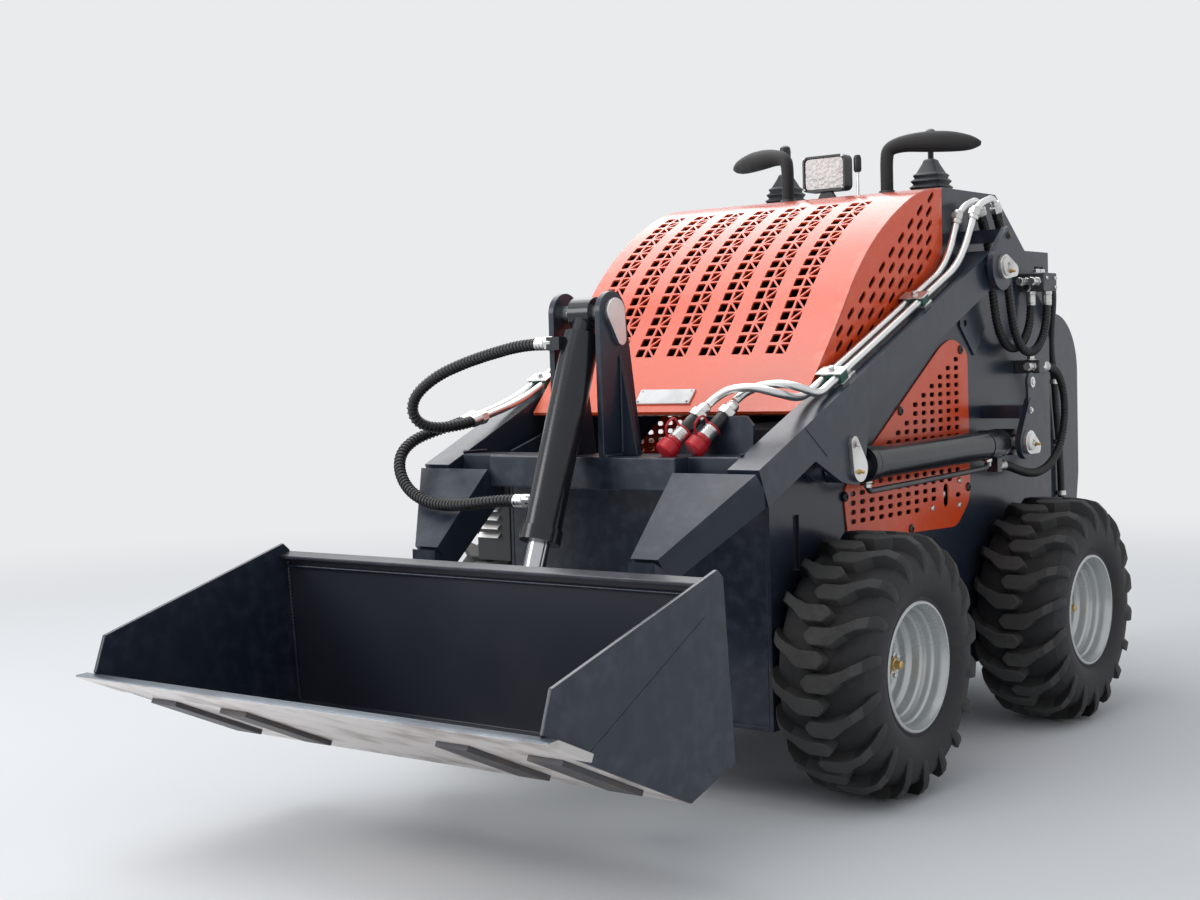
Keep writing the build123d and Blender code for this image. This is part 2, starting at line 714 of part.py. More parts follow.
# Cheeks with rows of slanted openings, set out from the rear end of each row
# height, rear end, openings
CHEEK_ROWS = (
    (1045, 326, 2),
    (1020, 326, 4),
    (995, 326, 5),
    (970, 326, 6),
    (945, 318, 6),
    (920, 290, 6),
    (895, 262, 6),
    (870, 222, 5),
    (845, 170, 5),
    (820, 118, 4),
    (795, 62, 3),
    (770, 0, 1),
)
CHEEK_PITCH = 34.0
CHEEK_SLOT = ((-9, -6), (-5, -9), (9, 6), (5, 9))
with BuildPart() as hood_cheeks:
    for side, sign in SIDES:
        slab(HOOD_UNDER + CHEEK_FOOT, sign * cheek_x, sign * HOOD_SHEET)
        with BuildSketch(across(sign * cheek_x)) as openings:
            for height, rear_end, count in CHEEK_ROWS:
                for step in range(count):
                    slot_y = rear_end - step * CHEEK_PITCH
                    Polygon(*[(slot_y + y, height + z) for y, z in CHEEK_SLOT], align=None)
        extrude(openings.sketch, amount=sign * HOOD_SHEET, mode=Mode.SUBTRACT)
finish(hood_cheeks, "hood_cheeks")

plate_low, plate_high = HOOD_LINE[0], HOOD_LINE[1]
plate_normal = (0, plate_low[1] - plate_high[1], plate_high[0] - plate_low[0])
with BuildPart() as hood_plate:
    plate_plane = Plane(origin=(0, *plate_low), x_dir=(1, 0, 0), z_dir=plate_normal)
    with BuildSketch(plate_plane):
        with Locations((0, PLATE_HEIGHT)):
            Rectangle(PLATE_WIDTH, PLATE_HEIGHT)
    extrude(amount=HOOD_SHEET)
finish(hood_plate, "hood_plate")

# Lift arms: a straight box, a bend that narrows inwards, and a leg down to the bucket's hinge
arm_run = (BEND_Y - ARM_PIVOT_Y, BEND_Z - ARM_PIVOT_Z)
arm_length = hypot(*arm_run)
arm_y, arm_z = arm_run[0] / arm_length, arm_run[1] / arm_length


def on_arm(distance, height):
    """Point (y, z) at a distance from the pivot along the arm and a height above its middle."""
    return (ARM_PIVOT_Y + distance * arm_y + height * arm_z, ARM_PIVOT_Z + distance * arm_z - height * arm_y)


with BuildPart() as arm_left:
    half_depth = ARM_DEPTH / 2
    slab(
        (
            on_arm(0, -half_depth),
            on_arm(0, half_depth),
            on_arm(arm_length, half_depth),
            on_arm(arm_length, -half_depth),
        ),
        ARM_INNER_X,
        ARM_WIDTH,
    )
    disc(ARM_PIVOT_Y, ARM_PIVOT_Z, ARM_BOSS_RADIUS, ARM_INNER_X, ARM_WIDTH)
    bend_normal = (0, KNEE_Y - BEND_Y, KNEE_Z - BEND_Z)
    with BuildSketch(Plane(origin=(0, BEND_Y, BEND_Z), x_dir=(1, 0, 0), z_dir=bend_normal)):
        with Locations((ARM_OUTER_X - BEND_WIDTH / 2, 0)):
            Rectangle(BEND_WIDTH, ARM_DEPTH)
    with BuildSketch(Plane(origin=(0, KNEE_Y, KNEE_Z), x_dir=(1, 0, 0), z_dir=bend_normal)):
        with Locations((KNEE_INNER_X + KNEE_WIDTH / 2, 0)):
            Rectangle(KNEE_WIDTH, KNEE_DEPTH)
    loft()
    slab(
        (
            (KNEE_Y - 26, KNEE_Z + 16),
            (KNEE_Y + 24, KNEE_Z - 10),
            (HINGE_Y + 26, HINGE_Z),
            (HINGE_Y - 26, HINGE_Z),
        ),
        KNEE_INNER_X,
        KNEE_WIDTH,
    )
    disc(HINGE_Y, HINGE_Z, HINGE_BOSS_RADIUS, KNEE_INNER_X, KNEE_WIDTH)
    # two plates below the arm hold the eye of the lift cylinder's rod
    for x_from in (ARM_INNER_X, ARM_OUTER_X - LUG_SHEET):
        slab(
            (
                (LIFT_EYE_Y - 167, LIFT_EYE_Z + 34),
                (LIFT_EYE_Y - 53, LIFT_EYE_Z - 20),
                (LIFT_EYE_Y - 25, LIFT_EYE_Z - 26),
                (LIFT_EYE_Y, LIFT_EYE_Z - 30),
                (LIFT_EYE_Y + 27, LIFT_EYE_Z - 14),
                (LIFT_EYE_Y + 30, LIFT_EYE_Z + 9),
                (LIFT_EYE_Y + 65, LIFT_EYE_Z + 149),
            ),
            x_from,
            LUG_SHEET,
        )
    disc(ARM_PIVOT_Y, ARM_PIVOT_Z, PIN_RADIUS + RUNNING_GAP, ARM_INNER_X, ARM_WIDTH, Mode.SUBTRACT)
    disc(HINGE_Y, HINGE_Z, PIN_RADIUS + RUNNING_GAP, KNEE_INNER_X, KNEE_WIDTH, Mode.SUBTRACT)
finish(arm_left, "arm_left")
with BuildPart() as arm_right:
    mirror(arm_left.part, about=Plane.YZ)
finish(arm_right, "arm_right")

# Flag plates on the arms' lugs, at the lift cylinders' front pins
with BuildPart() as lift_pin_flags:
    for side, sign in SIDES:
        link(
            (LIFT_EYE_Y, LIFT_EYE_Z),
            FLAG_RADIUS,
            (LIFT_EYE_Y - 18, LIFT_EYE_Z + FLAG_REACH),
            FLAG_RADIUS / 2,
            sign * ARM_OUTER_X,
            sign * PIN_HEAD,
        )
finish(lift_pin_flags, "lift_pin_flags")

# Cross-member between the arms; it is deeper between the bends
with BuildPart() as cross_member:
    block((-ARM_INNER_X, ARM_INNER_X), (CROSS_STEP_Y, CROSS_REAR_Y), (CROSS_BOTTOM_Z, CROSS_TOP_Z))
    inner_x = ARM_OUTER_X - BEND_WIDTH
    block((-inner_x, inner_x), (CROSS_FRONT_Y, CROSS_STEP_Y), (CROSS_BOTTOM_Z, CROSS_TOP_Z))
finish(cross_member, "cross_member")

# Tilt tower: two plates with rounded heads, each with a triangular rib outside
with BuildPart() as tilt_tower:
    for side, sign in SIDES:
        with BuildSketch(across(sign * TOWER_GAP)):
            with Locations((TILT_PIN_Y, TILT_PIN_Z)):
                Circle(TOWER_HEAD_RADIUS)
            Polygon(
                (TOWER_FOOT_Y[0], CROSS_TOP_Z),
                (TILT_PIN_Y - TOWER_HEAD_RADIUS, TILT_PIN_Z),
                (TILT_PIN_Y + TOWER_HEAD_RADIUS, TILT_PIN_Z),
                (TOWER_FOOT_Y[1], CROSS_TOP_Z),
                align=None,
            )
        extrude(amount=sign * TOWER_SHEET)
        disc(TILT_PIN_Y, TILT_PIN_Z, PIN_RADIUS + PIN_FIT, sign * TOWER_GAP, sign * TOWER_SHEET, Mode.SUBTRACT)
        rib_x = sign * (TOWER_GAP + TOWER_SHEET)
        with BuildSketch(Plane.XZ.offset(-(sum(TOWER_FOOT_Y) / 2 + TOWER_SHEET / 2))):
            Polygon(
                (rib_x, CROSS_TOP_Z),
                (rib_x + sign * RIB_REACH, CROSS_TOP_Z),
                (rib_x, RIB_TOP_Z),
                align=None,
            )
        extrude(amount=TOWER_SHEET)
finish(tilt_tower, "tilt_tower")

tower_face = TOWER_GAP + TOWER_SHEET
with BuildPart() as tilt_pin:
    disc(TILT_PIN_Y, TILT_PIN_Z, PIN_RADIUS, -tower_face, 2 * tower_face)
    for side, sign in SIDES:
        link(
            (TILT_PIN_Y, TILT_PIN_Z),
            FLAG_RADIUS,
            (TILT_PIN_Y + 14, TILT_PIN_Z - FLAG_REACH),
            FLAG_RADIUS / 2,
            sign * tower_face,
            sign * PIN_HEAD,
        )
finish(tilt_pin, "tilt_pin")

# Two quick couplers with dust caps, on a bracket that is cut out round them
QUICK_AXIS = Vector(28, 68, 55).normalized()
QUICK_CAPS = ((160, -410, 617), (200, -386, 623))
BRACKET_OUTLINE = ((120, 590), (282, 590), (282, 648), (268, 664), (150, 664), (120, 620))
with BuildPart() as coupler_bracket:
    with BuildSketch(Plane.XZ.offset(-CROSS_REAR_Y)):
        Polygon(*BRACKET_OUTLINE, align=None)
    extrude(amount=-LUG_SHEET)
    for cap in QUICK_CAPS:
        bar(Plane(origin=cap, z_dir=QUICK_AXIS), QUICK_RADIUS, QUICK_LENGTH, mode=Mode.SUBTRACT)
finish(coupler_bracket, "coupler_bracket")
with BuildPart() as quick_couplers:
    for cap in QUICK_CAPS:
        quick_plane = Plane(origin=cap, z_dir=QUICK_AXIS)
        bar(quick_plane, QUICK_RADIUS, QUICK_LENGTH)
        bar(quick_plane, CAP_RADIUS, CAP_LENGTH)
finish(quick_couplers, "quick_couplers")

# Tilt cylinder
tilt_plane = along(0, (TILT_PIN_Y, TILT_PIN_Z), (TILT_EYE_Y, TILT_EYE_Z))
tilt_span = hypot(TILT_EYE_Y - TILT_PIN_Y, TILT_EYE_Z - TILT_PIN_Z)
tilt_barrel_length = tilt_span - TILT_ROD_SHOWING
with BuildPart() as tilt_barrel:
    disc(TILT_PIN_Y, TILT_PIN_Z, EYE_RADIUS, -EYE_WIDTH / 2, EYE_WIDTH)
    bar(tilt_plane, NECK_RADIUS, NECK_LENGTH)
    bar(tilt_plane, TILT_BARREL_RADIUS, tilt_barrel_length - NECK_LENGTH, start=NECK_LENGTH)
    gland_start = tilt_barrel_length - GLAND_LENGTH
    bar(tilt_plane, TILT_BARREL_RADIUS + GLAND_EXTRA, GLAND_LENGTH, start=gland_start)
    bore_start = ROD_START - RUNNING_GAP
    bar(tilt_plane, TILT_ROD_RADIUS + RUNNING_GAP, tilt_barrel_length, start=bore_start, mode=Mode.SUBTRACT)
    disc(TILT_PIN_Y, TILT_PIN_Z, PIN_RADIUS + RUNNING_GAP, -EYE_WIDTH, 2 * EYE_WIDTH, Mode.SUBTRACT)
    # ports for the two hoses
    block((-UPPER_PORT_X, -12), (UPPER_PORT_Y - PORT_RADIUS, UPPER_PORT_Y + PORT_RADIUS), (UPPER_PORT_Z - PORT_RADIUS, UPPER_PORT_Z + PORT_RADIUS))
    disc(LOWER_PORT_Y, LOWER_PORT_Z, PORT_RADIUS, -LOWER_PORT_X, LOWER_PORT_X - TILT_ROD_RADIUS - 4)
finish(tilt_barrel, "tilt_barrel")
with BuildPart() as tilt_rod:
    bar(tilt_plane, TILT_ROD_RADIUS, tilt_span - ROD_START, start=ROD_START)
    disc(TILT_EYE_Y, TILT_EYE_Z, EYE_RADIUS, -EYE_WIDTH / 2, EYE_WIDTH)
finish(tilt_rod, "tilt_rod")

# Lift cylinders
lift_span = hypot(LIFT_EYE_Y - LIFT_BASE_Y, LIFT_EYE_Z - LIFT_BASE_Z)
rod_eye_width = ARM_WIDTH - 2 * LUG_SHEET - EAR_GAP
lift_barrel_length = lift_span - LIFT_ROD_SHOWING
for side, sign in SIDES:
    lift_plane = along(sign * LIFT_X, (LIFT_BASE_Y, LIFT_BASE_Z), (LIFT_EYE_Y, LIFT_EYE_Z))
    with BuildPart() as lift_barrel:
        disc(LIFT_BASE_Y, LIFT_BASE_Z, EYE_RADIUS, sign * LIFT_X - EYE_WIDTH / 2, EYE_WIDTH)
        bar(lift_plane, NECK_RADIUS, NECK_LENGTH)
        bar(lift_plane, LIFT_BARREL_RADIUS, lift_barrel_length - NECK_LENGTH, start=NECK_LENGTH)
        bore_start = ROD_START - RUNNING_GAP
        bar(lift_plane, LIFT_ROD_RADIUS + RUNNING_GAP, lift_barrel_length, start=bore_start, mode=Mode.SUBTRACT)
        bore_x = sign * LIFT_X - EYE_WIDTH
        disc(LIFT_BASE_Y, LIFT_BASE_Z, PIN_RADIUS + RUNNING_GAP, bore_x, 2 * EYE_WIDTH, Mode.SUBTRACT)
        port_x = (sign * LIFT_X - PORT_RADIUS, sign * LIFT_X + PORT_RADIUS)
        port_y = (LIFT_PORT_Y - 2 * PORT_RADIUS, LIFT_PORT_Y)
        block(port_x, port_y, (LIFT_PORT_Z - PORT_RADIUS, LIFT_PORT_Z + 2 * PORT_RADIUS))
    finish(lift_barrel, f"lift_barrel_{side}")
    with BuildPart() as lift_rod:
        bar(lift_plane, LIFT_ROD_RADIUS, lift_span - ROD_START, start=ROD_START)
        disc(LIFT_EYE_Y, LIFT_EYE_Z, EYE_RADIUS, sign * LIFT_X - rod_eye_width / 2, rod_eye_width)
    finish(lift_rod, f"lift_rod_{side}")

# Bucket: its section is set out along the floor, from the tip of the cutting edge to the heel
floor_run = (HEEL_Y - EDGE_Y, HEEL_Z - EDGE_Z)
floor_length = hypot(*floor_run)
floor_y, floor_z = floor_run[0] / floor_length, floor_run[1] / floor_length


def on_floor(distance, height):
    """Point (y, z) at a distance behind the edge's tip and a height above the floor's underside."""
    return (EDGE_Y + distance * floor_y - height * floor_z, EDGE_Z + distance * floor_z + height * floor_y)


inner = BUCKET_HALF_WIDTH - SIDE_PLATE
with BuildPart() as bucket_shell:
    slab(
        (
            on_floor(EDGE_DEPTH, 0),
            (HEEL_Y, HEEL_Z),
            (BACK_FOOT_Y, BACK_FOOT_Z),
            (BACK_TOP_Y, BACK_TOP_Z),
            (BACK_TOP_Y - LIP_DEPTH, BACK_TOP_Z - 6),
            (BACK_TOP_Y - LIP_DEPTH, BACK_TOP_Z - 6 - BUCKET_SHEET),
            (BACK_TOP_Y - BUCKET_SHEET, BACK_TOP_Z - 2 - BUCKET_SHEET),
            (BACK_FOOT_Y - BUCKET_SHEET, BACK_FOOT_Z + BUCKET_SHEET),
            (HEEL_Y, HEEL_Z + BUCKET_SHEET),
            on_floor(EDGE_DEPTH, BUCKET_SHEET),
        ),
        -inner,
        2 * inner,
    )
finish(bucket_shell, "bucket_shell")
for side, sign in SIDES:
    with BuildPart() as bucket_side:
        slab(
            (
                on_floor(14, EDGE_THICK),
                (EDGE_Y + 38, EDGE_Z + 62),
                (BACK_TOP_Y - 14, BACK_TOP_Z + 14),
                (BACK_TOP_Y, BACK_TOP_Z + 2),
                (BACK_FOOT_Y + 4, BACK_FOOT_Z),
                (HEEL_Y, HEEL_Z),
                on_floor(EDGE_DEPTH, 0),
                on_floor(EDGE_DEPTH, EDGE_THICK),
            ),
            sign * inner,
            sign * SIDE_PLATE,
        )
    finish(bucket_side, f"bucket_side_{side}")

edge_half = BUCKET_HALF_WIDTH + EDGE_OVERHANG
EDGE_SECTION = ((0, 0), (0, 3), (18, EDGE_THICK), (EDGE_DEPTH, EDGE_THICK), (EDGE_DEPTH, 0))
with BuildPart() as cutting_edge:
    slab([on_floor(*point) for point in EDGE_SECTION], -edge_half, 2 * edge_half)
finish(cutting_edge, "cutting_edge")

skid_end = SKID_START + SKID_LENGTH
SKID_SECTION = ((SKID_START, 0), (skid_end, 0), (skid_end, -SKID_SHEET), (SKID_START, -SKID_SHEET))
with BuildPart() as skid_strips:
    for x_from in SKID_X:
        slab([on_floor(*point) for point in SKID_SECTION], x_from, SKID_WIDTH)
finish(skid_strips, "skid_strips")

# Quick-attach plate with the ears for the hinge pins and the tilt cylinder
HINGE_EAR = ((-660, 180), (-668, 300), (-570, 222), (-534, 205), (-534, 172), (-560, 160))
TILT_EAR = ((-668, 300), (-675, 400), (-600, 362), (-570, 335), (-580, 305), (-600, 298))
with BuildPart() as coupler_plate:
    slab(
        (
            (back_y(COUPLER_FOOT_Z), COUPLER_FOOT_Z),
            (back_y(COUPLER_TOP_Z), COUPLER_TOP_Z),
            (back_y(COUPLER_TOP_Z) + COUPLER_SHEET, COUPLER_TOP_Z),
            (back_y(COUPLER_FOOT_Z) + COUPLER_SHEET, COUPLER_FOOT_Z),
        ),
        -COUPLER_HALF_WIDTH,
        2 * COUPLER_HALF_WIDTH,
    )
    for side, sign in SIDES:
        for x_from in (KNEE_INNER_X - EAR_GAP, KNEE_INNER_X + KNEE_WIDTH + EAR_GAP + EAR_SHEET):
            slab(HINGE_EAR, sign * x_from, -sign * EAR_SHEET)
        slab(TILT_EAR, sign * (EYE_WIDTH / 2 + EAR_GAP + EAR_SHEET), -sign * EAR_SHEET)
        for x_from in (KNEE_INNER_X - EAR_GAP - EAR_SHEET, KNEE_INNER_X + KNEE_WIDTH + EAR_GAP):
            disc(HINGE_Y, HINGE_Z, PIN_RADIUS + PIN_FIT, sign * x_from, sign * EAR_SHEET, Mode.SUBTRACT)
finish(coupler_plate, "coupler_plate")

with BuildPart() as bucket_pins:
    pin_length = KNEE_WIDTH + 2 * EAR_GAP + 2 * EAR_SHEET
    for side, sign in SIDES:
        pin_x = sign * (KNEE_INNER_X - EAR_GAP - EAR_SHEET)
        disc(HINGE_Y, HINGE_Z, PIN_RADIUS, pin_x, sign * pin_length)
        disc(HINGE_Y, HINGE_Z, FLAG_RADIUS, pin_x + sign * pin_length, sign * PIN_HEAD)
finish(bucket_pins, "bucket_pins")

# Steel pipes on top of both arms. Each route: side, x on the arm, front points, distance of the
# first and last points on the arm, then (y, z) points over the pivot
quick_ends = [Vector(*cap) + QUICK_AXIS * QUICK_LENGTH for cap in QUICK_CAPS]
quick_knees = [end + QUICK_AXIS * 18 for end in quick_ends]
LEFT_INNER_FRONT = (quick_ends[0], quick_knees[0], (222, -310, 707), (264, -306, 712), (306, -290, 700))
LEFT_OUTER_FRONT = (quick_ends[1], quick_knees[1], (262, -280, 712), (300, -270, 716), (332, -256, 708))
INNER_OVER_PIVOT = ((385, 1040), (466, 1062), (484, 1030))
OUTER_OVER_PIVOT = ((410, 1046), (488, 1066), (506, 1032))
PIPE_X = (312.0, 336.0)
PIPES = (
    # sign, x, front points, first and last distance along the arm, points over the pivot
    (1, PIPE_X[0], LEFT_INNER_FRONT, (700, 103), INNER_OVER_PIVOT),
    (1, PIPE_X[1], LEFT_OUTER_FRONT, (685, 88), OUTER_OVER_PIVOT),
    (-1, PIPE_X[0], ((-PIPE_X[0], -330, 663),), (700, 103), INNER_OVER_PIVOT),
    (-1, PIPE_X[1], ((-PIPE_X[1], -330, 663),), (700, 88), OUTER_OVER_PIVOT),
)
with BuildPart() as arm_pipes:
    for sign, pipe_x, front, distances, over_pivot in PIPES:
        on_top = [(sign * pipe_x, *on_arm(distance, PIPE_HEIGHT)) for distance in distances]
        rear = [(sign * pipe_x, *point) for point in over_pivot]
        tube((*front, *on_top, *rear), PIPE_RADIUS)
finish(arm_pipes, "arm_pipes")

# Saddles that carry the pipes on the arms
SADDLE_PLACES = (264, 581)
SADDLE_MARGIN = 11.0
with BuildPart() as pipe_saddles:
    for side, sign in SIDES:
        for distance in SADDLE_PLACES:
            slab(
                (
                    on_arm(distance - 12, ARM_DEPTH / 2),
                    on_arm(distance + 12, ARM_DEPTH / 2),
                    on_arm(distance + 12, PIPE_HEIGHT - PIPE_RADIUS),
                    on_arm(distance - 12, PIPE_HEIGHT - PIPE_RADIUS),
                ),
                sign * (PIPE_X[0] - SADDLE_MARGIN),
                sign * (PIPE_X[1] - PIPE_X[0] + 2 * SADDLE_MARGIN),
            )
finish(pipe_saddles, "pipe_saddles")

# Manifold blocks on the side plates, where the swing hoses and the lift cylinder's hose end
MANIFOLD_X = (SIDE_X, 340.0)
HOSE_END_Z = 885.0
LIFT_HOSE_START_Y = 722.0
with BuildPart() as hose_manifolds:
    for side, sign in SIDES:
        manifold_x = sorted(sign * x for x in MANIFOLD_X)
        block(manifold_x, (722, 788), (HOSE_END_Z, HOSE_END_Z + 38))
        block(manifold_x, (LIFT_HOSE_START_Y - 30, LIFT_HOSE_START_Y), (712, 740))
finish(hose_manifolds, "hose_manifolds")

# Swing hoses: from the arm pipes' ends above the pivot down in a loop to the manifold, (x, y, z)
SWING_OUTER = (
    (336, 506.2, 1031.6),
    (336, 534, 979),
    (335, 550, 909),
    (333, 568, 842),
    (331, 596, 786),
    (329, 645, 756),
    (327, 702, 758),
    (326, 748, 790),
    (325, 770, 836),
    (325, 770, HOSE_END_Z),
)
SWING_INNER = (
    (312, 484.2, 1029.6),
    (312, 513, 978),
    (311, 527, 912),
    (309, 543, 848),
    (307, 568, 796),
    (306, 616, 765),
    (305, 672, 767),
    (304, 716, 796),
    (303, 738, 838),
    (303, 738, HOSE_END_Z),
)
# Lift cylinder's hose: from the lower manifold round behind and below to the barrel's port
LIFT_HOSE = (
    (330, LIFT_HOSE_START_Y, 726),
    (330, 782, 726),
    (330, 829, 695),
    (330, 848, 642),
    (330, 838, 585),
    (330, 803, 539),
    (330, 752, 513),
    (330, 695, 503),
    (330, 638, 507),
    (330, 584, 519),
    (330, 540, LIFT_PORT_Z),
    (330, LIFT_PORT_Y + JOINT_GAP, LIFT_PORT_Z),
)
# Tilt cylinder's hoses: from the barrel's ports across to the ends of the right arm's pipes
TILT_HOSE_UPPER = (
    (-UPPER_PORT_X - JOINT_GAP, UPPER_PORT_Y, UPPER_PORT_Z),
    (-96, UPPER_PORT_Y, UPPER_PORT_Z),
    (-165, -456, 781),
    (-235, -458, 765),
    (-300, -466, 742),
    (-345, -478, 706),
    (-354, -472, 668),
    (-338, -440, 646),
    (-312, -374.8, 652.5),
    (-312, -330, 663),
)
TILT_HOSE_LOWER = (
    (-LOWER_PORT_X - JOINT_GAP, LOWER_PORT_Y, LOWER_PORT_Z),
    (-86, LOWER_PORT_Y, LOWER_PORT_Z),
    (-132, -529, 526),
    (-182, -533, 520),
    (-232, -531, 518),
    (-282, -528, 525),
    (-328, -520, 546),
    (-360, -505, 578),
    (-373, -484, 606),
    (-374, -450, 627),
    (-362, -412, 640),
    (-336, -374.8, 652.5),
    (-336, -330, 663),
)


def mirrored(points, sign):
    """The same route on the other side of the machine."""
    return [(sign * x, y, z) for x, y, z in points]


HOSES = (
    # name, radius, routes
    ("swing_hose_outer", SWING_HOSE_RADIUS, [mirrored(SWING_OUTER, sign) for side, sign in SIDES]),
    ("swing_hose_inner", SWING_HOSE_RADIUS, [mirrored(SWING_INNER, sign) for side, sign in SIDES]),
    ("lift_hose", SWING_HOSE_RADIUS, [mirrored(LIFT_HOSE, sign) for side, sign in SIDES]),
    ("tilt_hose_upper", TILT_HOSE_RADIUS, [TILT_HOSE_UPPER]),
    ("tilt_hose_lower", TILT_HOSE_RADIUS, [TILT_HOSE_LOWER]),
)
for label, radius, routes in HOSES:
    lengths = []
    with BuildPart() as hose:
        for route in routes:
            lengths.append(tube(route, radius))
    finish(hose, label)
    print(label, "length", round(lengths[0]), "bends", [round(bend) for bend in bend_radii(routes[0])])
    print(label, "volume over section times length", hose.part.volume / (pi * radius**2 * sum(lengths)))
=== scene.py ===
import json
import math

import bmesh
import bpy
from mathutils import Matrix, Vector


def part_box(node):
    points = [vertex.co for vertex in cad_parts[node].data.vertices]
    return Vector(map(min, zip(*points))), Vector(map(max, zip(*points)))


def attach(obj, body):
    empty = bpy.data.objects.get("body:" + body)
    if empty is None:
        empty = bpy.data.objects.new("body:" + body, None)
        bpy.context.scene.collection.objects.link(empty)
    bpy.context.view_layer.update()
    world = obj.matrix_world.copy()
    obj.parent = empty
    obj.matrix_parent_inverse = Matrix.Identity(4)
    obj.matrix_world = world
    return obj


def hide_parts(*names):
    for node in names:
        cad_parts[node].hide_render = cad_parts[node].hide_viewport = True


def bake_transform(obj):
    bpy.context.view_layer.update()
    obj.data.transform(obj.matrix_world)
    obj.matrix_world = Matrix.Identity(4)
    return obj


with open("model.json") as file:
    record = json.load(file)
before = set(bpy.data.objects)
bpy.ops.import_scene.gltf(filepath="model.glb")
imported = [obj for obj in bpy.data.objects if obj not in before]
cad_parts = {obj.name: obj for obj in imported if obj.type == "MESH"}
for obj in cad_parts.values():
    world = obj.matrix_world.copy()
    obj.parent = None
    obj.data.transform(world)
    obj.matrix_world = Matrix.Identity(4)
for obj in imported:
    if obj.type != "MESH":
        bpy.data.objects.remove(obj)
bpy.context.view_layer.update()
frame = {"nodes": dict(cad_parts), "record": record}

MM = 0.001
ALONG_X = Vector((1, 0, 0))
ALONG_Y = Vector((0, 1, 0))
ALONG_Z = Vector((0, 0, 1))
SIDES = (("left", 1), ("right", -1))
ENDS = (("front", -107), ("rear", 649))
# In millimetres: the wheels, faces that fittings sit on, and pivots as (along, height)
WHEEL_X = 383
AXLE_Z = 228.6
SIDE_FACE = 284
BRACKET_FACE = 378
CONSOLE_TOP = 1083
ARM_PIVOT = (436, 925)
LIFT_PIVOT = (540, 576)


def mm(x, y, z):
    """A point given in millimetres."""
    return Vector((x, y, z)) * MM


def placed(points, sign=1):
    """Points in millimetres, on the side of the machine that sign gives."""
    return [mm(sign * x, y, z) for x, y, z in points]


def facing(axis, place, outline, u=0, v=0):
    """A flat outline of pairs, at a place along one axis and moved by u and v in its plane."""
    at = "XYZ".index(axis)
    return [mm(*pair[:at], place, *pair[at:]) for pair in ((u + a, v + b) for a, b in outline)]


# Finishes


class Value:
    """A number that changes over a surface, with arithmetic that adds Math nodes."""

    def __init__(self, nodes, socket):
        self.nodes = nodes
        self.socket = socket

    def math(self, operation, *terms):
        return self.nodes.node("ShaderNodeMath", {"operation": operation}, dict(enumerate(terms)))

    def __add__(self, other):
        return self.math("ADD", self, other)

    def __sub__(self, other):
        return self.math("SUBTRACT", self, other)

    def __rsub__(self, other):
        return self.math("SUBTRACT", other, self)

    def __mul__(self, other):
        return self.math("MULTIPLY", self, other)

    __radd__ = __add__
    __rmul__ = __mul__

    def step(self, low, high):
        """0 below low, 1 above high and smooth between them."""
        ends = {"From Min": low, "From Max": high}
        settings = {"interpolation_type": "SMOOTHSTEP"}
        return self.nodes.node("ShaderNodeMapRange", settings, {"Value": self, **ends})


class Nodes:
    """The node tree of a material or a world."""

    def __init__(self, owner):
        owner.use_nodes = True
        self.tree = owner.node_tree

    def join(self, value, socket):
        if isinstance(value, Value):
            self.tree.links.new(value.socket, socket)
        elif isinstance(value, tuple) and len(value) == 3 and socket.type == "RGBA":
            socket.default_value = (*value, 1)
        else:
            socket.default_value = value

    def node(self, kind, settings=None, inputs=None, output=0):
        made = self.tree.nodes.new(kind)
        for name, value in (settings or {}).items():
            setattr(made, name, value)
        for name, value in (inputs or {}).items():
            self.join(value, made.inputs[name])
        return Value(self, made.outputs[output])

    def end(self, shader, output):
        self.join(shader, self.tree.nodes[output].inputs["Surface"])


class Finish(Nodes):
    """A material and the nodes that vary it, read from object coordinates."""

    def __init__(self, name):
        self.material = bpy.data.materials.new(name)
        super().__init__(self.material)
        self.shader = self.tree.nodes["Principled BSDF"]
        self.place = self.node("ShaderNodeTexCoord", output="Object")

    def noise(self, scale, detail, stretch=None):
        place = self.place
        if stretch:
            place = self.node("ShaderNodeMapping", None, {"Vector": place, "Scale": stretch})
        return self.node("ShaderNodeTexNoise", None, {"Vector": place, "Scale": scale, "Detail": detail})

    def height(self):
        return self.node("ShaderNodeSeparateXYZ", None, {0: self.place}, "Z")

    def edges(self):
        """1 on worn convex edges."""
        return self.node("ShaderNodeNewGeometry", output="Pointiness").step(0.52, 0.6)

    def mix(self, factor, first, second):
        inputs = {0: factor, 6: first, 7: second}
        return self.node("ShaderNodeMix", {"data_type": "RGBA"}, inputs, 2)

    def bump(self, height, distance, strength, under=None):
        inputs = {"Height": height, "Distance": distance, "Strength": strength}
        if under:
            inputs["Normal"] = under
        return self.node("ShaderNodeBump", None, inputs)

    def set(self, **inputs):
        for name, value in inputs.items():
            self.join(value, self.shader.inputs[name.replace("_", " ")])
        return self.material


